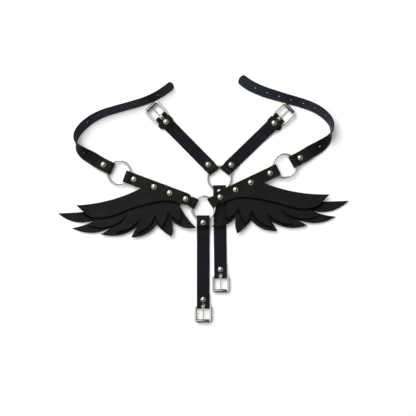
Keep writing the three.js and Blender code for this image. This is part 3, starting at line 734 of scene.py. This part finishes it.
def smoothThrough(points, steps):
    # a curve through every point, by the neighbours' directions
    points = np.asarray(points, float)
    ends = np.vstack([2 * points[0] - points[1], points, 2 * points[-1] - points[-2]])
    gaps = np.maximum(np.linalg.norm(np.diff(ends[:, :2], axis=0), axis=1), 1e-6) ** 0.5
    line = []
    for i in range(1, len(ends) - 2):
        before, at, to, after = ends[i - 1:i + 3]
        k0, k1, k2 = gaps[i - 1:i + 2]
        leave = ((at - before) / k0 - (to - before) / (k0 + k1) + (to - at) / k1) * k1
        reach = ((to - at) / k1 - (after - at) / (k1 + k2) + (after - to) / k2) * k1
        for t in np.arange(steps) / steps:
            line.append((2 * t ** 3 - 3 * t ** 2 + 1) * at + (t ** 3 - 2 * t ** 2 + t) * leave
                        + (3 * t ** 2 - 2 * t ** 3) * to + (t ** 3 - t ** 2) * reach)
    return np.array(line + [points[-1]])


def bandLine(ringV):
    # the band's middle line in the wing's upright plane: flat, over the outer ring, round it and back under
    cover, flap = 2 * layerStep + half, layerStep + half
    over = [(wing["outerRing"], cover), (ringRadius + 2 * slope - cover + upperWire, cover),
            (ringRadius + slope, upperWire + slope), (ringRadius, upperWire + foldRadius)]
    fold = foldRows(foldPlace(wing["bandHalf"] + abs(ringV - wing["bandMiddle"])), upperWire, 90, 270)
    under = [(ringRadius, upperWire - foldRadius), (ringRadius + slope, upperWire - slope),
             (ringRadius + 2 * slope - upperWire + flap, flap),
             (wing["outerRing"] - wing["rivets"][3] + wing["flapPast"], flap)]
    line = easedLine(over + fold + under, leather["ease"])
    line[:, 0] = wing["outerRing"] - line[:, 0]
    run = runAlong(line)
    return run, line, unit(np.gradient(line, run, axis=0))


def coverOutline(side):
    turns = np.linspace(math.pi / 2, 3 * math.pi / 2, 25)
    inner = [(wing["bandEnd"] * math.cos(t), wing["bandEnd"] * math.sin(t)) for t in turns]
    lower = smoothThrough([(0, -wing["bandEnd"])] + coverEdge, 9)[1:]
    upper = bowedEdge(lower[-1], (wing["notch"], bandBottom), wing["hollow"], 30)
    end = bandLine(wingSides[side]["ringV"])[0][-1]
    return np.vstack([inner, lower, upper, [(end, bandBottom), (end, bandTop)]]), lower


def makeCover(side):
    spec = wingSides[side]
    hand = spec["hand"]
    run, line, tangent = bandLine(spec["ringV"])
    outline, lower = coverOutline(side)
    toWorld = wingFrame(side)
    flatHeight = 2 * layerStep + half
    curve = np.linalg.norm(np.gradient(tangent, run, axis=0), axis=1)
    tipU, tipV = coverEdge[-1]

    def place(x, v, h):
        u = hand * x
        # the free edge of the broad feather stands up a little, most of all at its tip
        free = lower[wing["freeFrom"]::2]
        away = np.min([np.hypot(u - edgeU, v - edgeV) for edgeU, edgeV in free], axis=0)
        lift = wing["edgeLift"] * np.exp(-(away / wing["edgeSoft"]) ** 2)
        lift = lift * np.clip((u - wing["liftFrom"]) / wing["liftOver"], 0, 1)
        lift = lift + wing["tipLift"] * np.exp(-((u - tipU) ** 2 + (v - tipV) ** 2) / wing["tipSpread"])
        banded = (v > bandBottom - wing["bandMargin"]) & (u > wing["bandFrom"])
        read = lambda table: np.interp(u, run, table)
        alongU = np.where(banded, read(line[:, 0]) - h * read(tangent[:, 1]), u)
        height = np.where(banded, read(line[:, 1]) + h * read(tangent[:, 0]), flatHeight + h + lift)
        return toWorld(np.stack([hand * alongU, v, height], 1))

    bendAt = lambda x: np.interp(hand * x, run, np.clip(curve * foldRadius, 0, 1))
    leatherPiece(f"wing_cover_{side}", outline * (hand, 1), place, upGrain, (1.6, 2.4), bendAt=bendAt)


def makeTab(side):
    spec = wingSides[side]
    under, over = wingLift + half, lowerWire + foldRadius
    end = wing["tabReach"] + wing["tongueHalf"]
    rows = [(end, over)] + foldRows(foldPlace(wing["tabHalf"]), lowerWire, 90, 270)
    rows += [(ringRadius + wireRadius + leather["gap"], lowerWire - foldRadius),
             (wing["tabNeck"], under), (end, under)]
    path = uprightPath(rows, (0, 0), spec["tabAngle"])
    places = [wing["tabShoulder"], wing["tabNeck"], wing["tabReach"]]
    widthAt = alongWidth(path, places, [wing["tabHalf"], wing["tabNeckHalf"], wing["tongueHalf"]])
    step = 0.8
    outline = strapOutline(path, widthAt, None, wing["tongueHalf"], wing["tongueHalf"], step)
    leatherPiece(f"wing_tab_{side}", outline, alongPath(path), upFlesh, (1.0, 1.8),
                 bendAt=bendAlong(path), step=step)


# Side straps: rows past the ring of x, y and lean from flat in degrees
sideStrap = {
    "half": 9.5, "flapEnd": 34.5, "rivet": 26.2, "routeStart": 31.0, "settleRows": 3.5,
    "holeRadius": 1.25, "holeFirst": 28.0, "holePitch": 18.8, "holeCount": 10,
    "tipLength": 6.0, "tipRound": 2.4, "tipHalf": 0.02,
    "routeSteps": 60, "step": 0.2, "softFrom": 6.0, "softSpread": 12.0, "softOver": 40,
}
sideRoutes = {
    "left": [
        (-166.8, 75.1, -12), (-178.7, 81.9, -31), (-186.6, 89.7, -58), (-190.1, 98.2, -88),
        (-189, 108.1, -106), (-181.9, 119.3, -116), (-167.4, 131.6, -118), (-151.2, 140.2, -117),
        (-130.6, 146.8, -116), (-108.4, 153, -116), (-87.5, 159.4, -117), (-70.7, 166.8, -118),
        (-56.6, 175.7, -118), (-45, 184.8, -118),
    ],
    "right": [
        (159.9, 84.1, 8), (175.7, 93.2, 27), (186.4, 103, 56), (191, 113.9, 88),
        (191.4, 122.2, 100), (188.9, 129, 109), (182.5, 137.2, 116), (171.3, 145.9, 120),
        (158.5, 152.2, 123), (143.3, 157.4, 124), (127.2, 161.9, 126), (112, 166.5, 128),
        (95.2, 171.6, 131), (79.4, 177.8, 132), (66, 184.8, 133), (53.8, 194.2, 132),
    ],
}
sideWire = wingLift - (wing["outerRing"] + ringRadius) * math.sin(wingTilt) + upperWire * math.cos(wingTilt)


def outerRingPlace(side):
    spec = wingSides[side]
    return wingFrame(side)([spec["hand"] * wing["outerRing"], spec["ringV"], 0.0])[:2]


def sidePath(side):
    centre = np.array([*outerRingPlace(side), 0.0])
    ahead, left = headingAxes(wingSides[side]["strapAngle"])
    main = sideWire - foldRadius + layerStep

    # the fold at the ring, in its upright plane: places, sides and ups
    rows = [(sideStrap["flapEnd"], sideWire - foldRadius)]
    rows += foldRows(foldPlace(sideStrap["half"]), sideWire, 270, 90)
    rows += [(ringRadius, sideWire + foldRadius), (ringRadius + slope, sideWire + slope),
             (ringRadius + landing, main), (sideStrap["routeStart"], main)]
    loop = easedLine(rows, leather["ease"])
    pace = unit(np.gradient(loop, axis=0))
    fold = np.hstack([centre + loop[:, :1] * ahead + loop[:, 1:] * upright, np.tile(left, (len(loop), 1)),
                      -pace[:, 1:] * ahead + pace[:, :1] * upright])

    # the route past it, which turns from flat up on edge
    table = np.vstack([centre, centre + sideStrap["routeStart"] * ahead, sideRoutes[side]])
    steps = sideStrap["routeSteps"]
    route = smoothThrough(table, steps)[steps:]
    plan, lean = route[:, :2], np.radians(route[:, 2:])
    drift = unit(np.gradient(plan, axis=0))
    leftward = np.column_stack([-drift[:, 1], drift[:, 0], np.zeros(len(drift))])
    settle = 1 - eased(np.arange(len(route))[:, None] / steps / (sideStrap["settleRows"] - 1))
    height = sideStrap["half"] * np.abs(np.sin(lean)) + half * np.abs(np.cos(lean)) + settle * (main - half)
    onward = np.hstack([plan, height, np.cos(lean) * leftward + np.sin(lean) * upright,
                        -np.sin(lean) * leftward + np.cos(lean) * upright])

    # both in even steps, softened where they meet
    columns = np.vstack([fold, onward[1:]])
    run = runAlong(columns[:, :3])
    even = np.arange(0, run[-1], sideStrap["step"])
    columns = np.stack([np.interp(even, run, column) for column in columns.T], 1)
    foldEnd = int((run[len(loop) - 1] - sideStrap["softFrom"]) / sideStrap["step"])
    share = np.clip((np.arange(len(columns)) - foldEnd) / sideStrap["softOver"], 0, 1)[:, None]
    columns = columns * (1 - share) + easedColumns(columns, sideStrap["softSpread"]) * share
    return pathOf(columns[:, :3], unit(columns[:, 3:6]), unit(columns[:, 6:]))


def makeSideStrap(side):
    path = sidePath(side)
    steps = range(sideStrap["holeCount"])
    places = [path["length"] - sideStrap["holeFirst"] - sideStrap["holePitch"] * i for i in steps]
    holes = [circle(a, 0.0, sideStrap["holeRadius"]) for a in places]

    def widthAt(a):
        left = np.clip((path["length"] - a) / sideStrap["tipLength"], 0, 1)
        power = sideStrap["tipRound"]
        rounded = np.maximum(1 - (1 - left) ** power, 0.0) ** (1 / power)
        return sideStrap["half"] * rounded + sideStrap["tipHalf"]

    outline = strapOutline(path, widthAt, endCorner=0.01, step=0.9)
    leatherPiece(f"side_strap_{side}", outline, alongPath(path), upLitFlesh, (1.3, 2.4), holes, bendAlong(path))
    print(f"side strap {side} is {path['length']:.0f} mm long with its fold")


makeCamera()
for side in ("left", "right"):
    makeVStrap(side)
    makeKeeper(side)
    coverLine, middleLine = coverOutline(side)[0], featherOutline(middleFeathers, middleRoots)
    makeFeathers(side, "long", 0, longFeathers, longRoots, [middleLine, coverLine])
    makeFeathers(side, "middle", 1, middleFeathers, middleRoots, [coverLine])
    makeCover(side)
    makeTab(side)
    makeSideStrap(side)
for which in ("front", "back"):
    makeHangingStrap(which)
print("leather cut and folded")


# Metal grown by geometry nodes: wire along a path, and rivets on points

def newTree(name, sockets):
    tree = bpy.data.node_groups.new(name, "GeometryNodeTree")
    tree.interface.new_socket("Geometry", in_out="INPUT", socket_type="NodeSocketGeometry")
    made = {label: tree.interface.new_socket(label, in_out="INPUT", socket_type=f"NodeSocket{kind}")
            for label, kind in sockets.items()}
    tree.interface.new_socket("Geometry", in_out="OUTPUT", socket_type="NodeSocketGeometry")
    return tree, made, tree.nodes.new("NodeGroupInput"), tree.nodes.new("NodeGroupOutput")


def finishTree(tree, start, end, shape):
    whole = nodeIn(tree, "GeometryNodeRealizeInstances", {"Geometry": shape})
    smooth = nodeIn(tree, "GeometryNodeSetShadeSmooth", {"Geometry": whole.outputs[0]})
    plated = nodeIn(tree, "GeometryNodeSetMaterial", {
        "Geometry": smooth.outputs[0], "Material": start.outputs["Material"]})
    tree.links.new(plated.outputs[0], end.inputs[0])


def wireTree():
    tree, sockets, start, end = newTree("wireAlongPath", {
        "Corner": "Float", "Corner Steps": "Int", "Material": "Material"})
    curve = nodeIn(tree, "GeometryNodeMeshToCurve", {"Mesh": start.outputs["Geometry"]})
    thick = nodeIn(tree, "GeometryNodeInputNamedAttribute", {"Name": "wireRadius"}, data_type="FLOAT")
    square = nodeIn(tree, "GeometryNodeCurvePrimitiveQuadrilateral", {"Width": 2.0, "Height": 2.0})
    section = nodeIn(tree, "GeometryNodeFilletCurve", mode="POLY", inputs={
        "Curve": square.outputs[0], "Radius": start.outputs["Corner"],
        "Count": start.outputs["Corner Steps"]})
    wire = nodeIn(tree, "GeometryNodeCurveToMesh", {
        "Curve": curve.outputs[0], "Profile Curve": section.outputs[0],
        "Scale": thick.outputs[0], "Fill Caps": True})
    finishTree(tree, start, end, wire.outputs[0])
    return tree, sockets


def roundIn(tree, radius, rise):
    # a ball pressed to the given radius, with its height read off by rise
    ball = nodeIn(tree, "GeometryNodeMeshUVSphere", {"Segments": 32, "Rings": 28, "Radius": 1.0})
    spot = nodeIn(tree, "ShaderNodeSeparateXYZ", {0: nodeIn(tree, "GeometryNodeInputPosition").outputs[0]})
    x, y, z = spot.outputs
    moved = nodeIn(tree, "ShaderNodeCombineXYZ", {
        0: maths(tree, "MULTIPLY", x, radius), 1: maths(tree, "MULTIPLY", y, radius), 2: rise(z)})
    return nodeIn(tree, "GeometryNodeSetPosition", {
        "Geometry": ball.outputs[0], "Position": moved.outputs[0]}).outputs[0]


def capIn(tree, radius, height, crown, brim):
    # a domed crown inside a thin flat brim, flat on the plane z = 0
    def rise(z):
        # distance from the axis, squared, as a share of the crown's radius
        flat = maths(tree, "SUBTRACT", 1.0, maths(tree, "MULTIPLY", z, z))
        share = maths(tree, "DIVIDE", flat, maths(tree, "MULTIPLY", crown, crown))
        domed = maths(tree, "SQRT", maths(tree, "MAXIMUM", maths(tree, "SUBTRACT", 1.0, share), 0.0))
        edge = maths(tree, "MULTIPLY", maths(tree, "MINIMUM", maths(tree, "MULTIPLY", z, 3.0), 1.0), brim)
        shape = maths(tree, "MAXIMUM", domed, edge)
        upper = maths(tree, "GREATER_THAN", z, 0.0001)
        return maths(tree, "MULTIPLY", maths(tree, "MULTIPLY", shape, upper), height)
    return roundIn(tree, radius, rise)


def baseIn(tree, radius, height):
    # half of a flattened ball that hangs under the plane z = 0
    return roundIn(tree, radius, lambda z: maths(tree, "MULTIPLY", maths(tree, "MINIMUM", z, 0.0), height))


def rivetTree():
    tree, sockets, start, end = newTree("rivetOnPoints", {
        "Cap Radius": "Float", "Cap Height": "Float", "Crown": "Float", "Brim": "Float",
        "Shank Radius": "Float", "Base Radius": "Float", "Base Height": "Float", "Material": "Material"})
    size = start.outputs
    stack, lean = (nodeIn(tree, "GeometryNodeInputNamedAttribute", {"Name": name}, data_type=kind).outputs[0]
                   for name, kind in (("stack", "FLOAT"), ("lean", "FLOAT_VECTOR")))
    turn = nodeIn(tree, "FunctionNodeEulerToRotation", {0: lean}).outputs[0]
    upward = nodeIn(tree, "ShaderNodeCombineXYZ", {2: stack}).outputs[0]
    shank = nodeIn(tree, "GeometryNodeMeshCylinder", {
        "Vertices": 16, "Radius": size["Shank Radius"], "Depth": 1.0})
    raised = nodeIn(tree, "GeometryNodeTransform", {"Geometry": shank.outputs[0], "Translation": (0, 0, 0.5)})
    reach = nodeIn(tree, "ShaderNodeCombineXYZ", {0: 1.0, 1: 1.0, 2: stack}).outputs[0]
    parts = [
        (capIn(tree, size["Cap Radius"], size["Cap Height"], size["Crown"], size["Brim"]), None, upward),
        (baseIn(tree, size["Base Radius"], size["Base Height"]), None, None),
        (raised.outputs[0], reach, None),
    ]
    joined = nodeIn(tree, "GeometryNodeJoinGeometry")
    for shape, scale, shift in parts:
        inputs = {"Points": size["Geometry"], "Instance": shape, "Rotation": turn}
        if scale:
            inputs["Scale"] = scale
        placed = nodeIn(tree, "GeometryNodeInstanceOnPoints", inputs).outputs[0]
        if shift:
            placed = nodeIn(tree, "GeometryNodeTranslateInstances", {
                "Instances": placed, "Translation": shift, "Local Space": True}).outputs[0]
        tree.links.new(placed, joined.inputs[0])
    finishTree(tree, start, end, joined.outputs[0])
    return tree, sockets


def grown(name, mesh, tree, sockets, values):
    source = bpy.data.objects.new(name, mesh)
    bpy.context.scene.collection.objects.link(source)
    modifier = source.modifiers.new("grown", "NODES")
    modifier.node_group = tree
    for label, value in values.items():
        modifier[sockets[label].identifier] = value
    done = bpy.data.meshes.new_from_object(source.evaluated_get(bpy.context.evaluated_depsgraph_get()))
    source.modifiers.remove(modifier)
    source.data = done
    done.name = name
    return source


def metalPiece(piece, body, nodes):
    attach(piece, body)
    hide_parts(*nodes)


def pathMesh(name, paths):
    # paths of points, radii and whether the end joins the start
    spots, edges, radii = [], [], []
    for points, thick, closed in paths:
        first, count = len(spots), len(points)
        spots += [tuple(p) for p in np.asarray(points) * mm + home]
        radii += [r * mm for r in np.broadcast_to(thick, count)]
        edges += [(first + i, first + (i + 1) % count) for i in range(count if closed else count - 1)]
    mesh = bpy.data.meshes.new(name)
    mesh.from_pydata(spots, edges, [])
    mesh.attributes.new("wireRadius", "FLOAT", "POINT").data.foreach_set("value", radii)
    return mesh


wireNodes, wireSockets = wireTree()
roundWire = 0.98  # how far the corners of the wire's square section are rounded


def wirePiece(name, paths, corner, body, nodes):
    values = {"Corner": corner, "Corner Steps": 6, "Material": nickel}
    metalPiece(grown(name, pathMesh(name, paths), wireNodes, wireSockets, values), body, nodes)


# Rings
def ringLoop(x, y, z):
    turns = np.linspace(0, 2 * math.pi, 120, endpoint=False)
    return np.stack([x + ringRadius * np.cos(turns), y + ringRadius * np.sin(turns), np.full(120, z)], 1)


def makeRings():
    loops = [ringLoop(*upperRing, upperWire), ringLoop(0, 0, lowerWire)]
    for side, spec in wingSides.items():
        loops.append(wingFrame(side)(ringLoop(spec["hand"] * wing["outerRing"], spec["ringV"], upperWire)))
    wirePiece("rings_wire", [(loop, wireRadius, True) for loop in loops], roundWire, "root",
              ["upper_ring", "lower_ring", "left_ring", "right_ring"])


# Roller buckles, measured from the bar
buckle = {
    "toRoller": 22.0, "rail": 11.4, "corner": 2.4, "squared": 0.62, "step": 0.9,
    "rollerRadius": 2.4, "rollerHalf": 9.2, "rollerBore": 1.8, "seam": 0.16, "seamAt": 0.9, "seamWide": 0.07,
    "prongLength": 25.0,
    "vProng": {"eye": 2.8, "thick": 1.0, "drop": 0.85, "up": 1},
    "hangingProng": {"eye": 2.4, "thick": 0.85, "drop": 0.9, "up": -1},
}


def strapPlace(origin, angle, along, height):
    # from a frame with its x along the strap to the shared one
    ahead = heading(angle)
    turn = np.array([[ahead[0], -ahead[1], 0], [ahead[1], ahead[0], 0], [0, 0, 1]])
    start = np.array([*(np.asarray(origin) + along * ahead), height])
    return lambda points: np.asarray(points, float) @ turn.T + start


def frameLoop():
    far, rail, corner = buckle["toRoller"], buckle["rail"], buckle["corner"]
    points = []
    for x, y, start in ((corner, rail - corner, 180), (far - corner, rail - corner, 90),
                        (far - corner, corner - rail, 0), (corner, corner - rail, -90)):
        for t in np.radians(np.linspace(start, start - 90, 9)):
            points.append((x + corner * math.cos(t), y + corner * math.sin(t), 0.0))
    return openLoop(points, buckle["step"])


def prongPath(eye, thick, drop, up):
    # from the tip back to the bar and round it, in the upright plane along the buckle
    reach = buckle["prongLength"]
    shank = np.linspace(1, 0, 40)
    x = list(shank * reach)
    z = list(-eye - drop * shank)
    radii = list(np.interp(shank * reach, [0, reach - 1.2, reach - 0.5, reach - 0.1, reach],
                           [thick, 0.82 * thick, 0.72 * thick, 0.42 * thick, 0.12 * thick]))
    for t in np.radians(np.linspace(-97, -375, 30)):
        x.append(eye * math.cos(t))
        z.append(eye * math.sin(t))
        radii.append(thick)
    return np.stack([x, np.zeros(len(x)), up * np.array(z)], 1), np.array(radii)


def makeRoller(name, place, body, nodes):
    # a tube rolled from sheet, its edges turned in and its seam left as a groove
    outer, bore, length = buckle["rollerRadius"], buckle["rollerBore"], buckle["rollerHalf"]
    end = [(bore, 0.15), (bore + 0.15, 0.0), (outer - 0.25, 0.0), (outer - 0.08, 0.1), (outer, 0.35)]
    profile = [(radius, inset - length) for radius, inset in end] + [(outer, 0.0)]
    profile += [(radius, length - inset) for radius, inset in reversed(end)]
    rows, count = len(profile), 48
    turns = np.linspace(0, 2 * math.pi, count, endpoint=False)
    groove = buckle["seam"] * np.exp(-((turns - buckle["seamAt"]) / buckle["seamWide"]) ** 2)
    spots = []
    for radius, y in profile:
        r = radius - groove * (radius > bore + 0.2)
        spots += list(zip(buckle["toRoller"] + r * np.cos(turns), np.full(count, y), r * np.sin(turns)))
    faces = []
    for j in range(rows):
        near, far = j * count, (j + 1) % rows * count
        faces += [(near + i, far + i, far + (i + 1) % count, near + (i + 1) % count) for i in range(count)]
    mesh = bpy.data.meshes.new(name)
    mesh.from_pydata([tuple(p) for p in place(spots) * mm + home], [], faces)
    # the roller's nickel is the darker copy: painted shade
    mesh.materials.append(rollerShadedNickel)
    mesh.polygons.foreach_set("use_smooth", [True] * len(faces))
    piece = bpy.data.objects.new(name, mesh)
    bpy.context.scene.collection.objects.link(piece)
    metalPiece(piece, body, nodes)


def makeBuckle(place, prong, rim, pin, tube):
    # rim, pin and tube: each piece's name, its body and the nodes it stands for
    name, *rest = rim
    wirePiece(name, [(place(frameLoop()), wireRadius, True)], buckle["squared"], *rest)
    name, *rest = pin
    points, radii = prongPath(**prong)
    wirePiece(name, [(place(points), radii, False)], roundWire, *rest)
    name, *rest = tube
    makeRoller(name, place, *rest)


def makeBuckles():
    for side, (angle, outer) in vSides.items():
        place = strapPlace(vOrigin(side), angle, vStrap["bar"], vBarHeight)
        makeBuckle(place, buckle["vProng"], (f"v_buckle_{side}_frame", "root", [f"v_buckle_{side}"]),
                   (f"v_prong_{side}_wire", f"prong_{side}", [f"v_prong_{side}"]),
                   (f"v_roller_{side}_tube", f"roller_{side}", [f"v_roller_{side}"]))
    for which in ("front", "back"):
        strap, nodes = hanging[which], [f"{which}_buckle"]
        place = strapPlace(strap["origin"], strap["angle"], hanging["bar"], upperWire)
        makeBuckle(place, buckle["hangingProng"], (f"{which}_buckle_frame", "root", nodes),
                   (f"{which}_prong_wire", "root", nodes), (f"{which}_roller_tube", "root", nodes))


# Rivets: centre under the base, height of the leather they hold, lean
rivets = {
    "capRadius": 3.8, "capHeight": 1.75, "crown": 0.8, "brim": 0.28, "shankRadius": 1.2,
    "baseRadius": 3.5, "baseHeight": 0.8, "bite": 0.1, "clear": 0.2,
}


def makeRivets():
    rows, nodes = [], []

    def add(node, spot, low, top, lean=(0, 0, 0)):
        rows.append((spot, top - rivets["bite"] - low - base, lean))
        nodes.append(node)

    base, sunk = rivets["baseHeight"], leather["gap"] / 3
    proud = base + rivets["clear"]
    for side, (angle, outer) in vSides.items():
        for end, along, low, top in (("lower", vStrap["rivetLow"], sunk, layerStep + leather["thick"]),
                                     ("upper", vStrap["rivetHigh"], layerStep + sunk, vBackFlap + half)):
            place = strapPlace(vOrigin(side), angle, along, low + base)
            add(f"v_rivet_{side}_{end}", place([0, 0, 0]), low, top)
    for which in ("front", "back"):
        strap = hanging[which]
        under, top = strap["wire"] - foldRadius - half, strap["wire"] + foldRadius + half
        low = under + sunk if which == "back" else under - proud
        place = strapPlace(strap["origin"], strap["angle"], strap["rivet"], low + base)
        add(f"{which}_rivet_ring", place([0, 0, 0]), low, top)
        place = strapPlace(strap["origin"], strap["angle"], hanging["rivet"], sunk + base)
        add(f"{which}_rivet_buckle", place([0, 0, 0]), sunk, layerStep + leather["thick"])
    for side, spec in wingSides.items():
        lean = (0, spec["hand"] * wingTilt, math.radians(spec["bandAngle"]))
        top = 2 * layerStep + leather["thick"]
        for i, u in enumerate(reversed(wing["rivets"])):
            low = (layerStep if i == 0 else 0) - proud
            spot = wingFrame(side)([spec["hand"] * u, 0, low + base])
            add(f"wing_rivet_{side}_{i + 1}", spot, low, top, lean)
        under = sideWire - foldRadius - half
        x, y = outerRingPlace(side) + sideStrap["rivet"] * heading(spec["strapAngle"])
        add(f"side_rivet_{side}", (x, y, under - rivets["clear"]), under - proud,
            under + layerStep + leather["thick"])
    spots, stacks, leans = (np.array(column, float) for column in zip(*rows))
    mesh = bpy.data.meshes.new("rivets_domed")
    mesh.from_pydata([tuple(p) for p in spots * mm + home], [], [])
    mesh.attributes.new("stack", "FLOAT", "POINT").data.foreach_set("value", stacks * mm)
    mesh.attributes.new("lean", "FLOAT_VECTOR", "POINT").data.foreach_set("vector", leans.ravel())
    tree, sockets = rivetTree()
    labels = {"Cap Radius": "capRadius", "Cap Height": "capHeight", "Shank Radius": "shankRadius",
              "Base Radius": "baseRadius", "Base Height": "baseHeight"}
    values = {label: rivets[key] * mm for label, key in labels.items()}
    values |= {"Crown": rivets["crown"], "Brim": rivets["brim"], "Material": nickel}
    metalPiece(grown("rivets_domed", mesh, tree, sockets, values), "root", nodes)


makeRings()
makeBuckles()
makeRivets()
print("metal grown")


# Floor and light
studio = {
    "floor": 120.0, "floorDrop": 0.0004, "floorColour": (0.95, 0.95, 0.945), "paper": 0.985,
    "sky": 2.2, "skyColour": (0.98, 0.985, 1.0, 1),
    "skyTowards": (-0.5, 0.42, 1.0),  # brightest overhead and towards the picture's top left
    "skyNarrow": 0.9,  # how fast it darkens towards the picture's top and bottom
    "skyStops": [(0.0, 0.03), (0.62, 0.06), (1.0, 1.0)],
    "key": {"place": (-0.75, 1.25, 1.35), "side": 1.4, "radiance": 5.6},
}


def makeStudio():
    material, tree, shader = shaderOf("studio_floor")
    place = nodeIn(tree, "ShaderNodeTexCoord").outputs["Object"]
    shade = tuple(c * studio["paper"] for c in studio["floorColour"])
    tint = mixColour(tree, noise(tree, place, 60.0, 3.0)["Fac"], (*studio["floorColour"], 1), (*shade, 1))
    tree.links.new(tint, shader.inputs["Base Color"])
    shader.inputs["Roughness"].default_value = 0.9
    shader.inputs["Specular IOR Level"].default_value = 0.1
    size, drop = studio["floor"] / 2, -studio["floorDrop"]
    mesh = bpy.data.meshes.new("studio_floor")
    corners = [(x * size, y * size, drop) for x, y in ((-1, -1), (1, -1), (1, 1), (-1, 1))]
    mesh.from_pydata(corners, [], [(0, 1, 2, 3)])
    mesh.materials.append(material)
    floor = bpy.data.objects.new("studio_floor", mesh)
    bpy.context.scene.collection.objects.link(floor)
    world = bpy.data.worlds.new("studio_world")
    world.use_nodes = True
    sky = world.node_tree
    away = nodeIn(sky, "ShaderNodeTexCoord").outputs["Generated"]
    towards = nodeIn(sky, "ShaderNodeVectorMath", {0: away, 1: studio["skyTowards"]}, operation="DOT_PRODUCT")
    upward = nodeIn(sky, "ShaderNodeSeparateXYZ", {0: away}).outputs[1]
    narrowed = maths(sky, "MULTIPLY", maths(sky, "MULTIPLY", upward, upward), studio["skyNarrow"])
    glow = ramp(sky, maths(sky, "SUBTRACT", towards.outputs["Value"], narrowed), studio["skyStops"])
    sky.links.new(maths(sky, "MULTIPLY", glow, studio["sky"]), sky.nodes["Background"].inputs["Strength"])
    sky.nodes["Background"].inputs["Color"].default_value = studio["skyColour"]
    bpy.context.scene.world = world
    key = studio["key"]
    data = bpy.data.lights.new("key", "AREA")
    data.size = key["side"]
    data.energy = key["radiance"] * math.pi * key["side"] ** 2
    box = bpy.data.objects.new("key", data)
    box.location = key["place"]
    box.rotation_euler = Vector(key["place"]).to_track_quat("Z", "Y").to_euler()
    bpy.context.scene.collection.objects.link(box)
    bpy.context.scene.view_settings.view_transform = "Standard"


makeStudio()
print("studio lit")
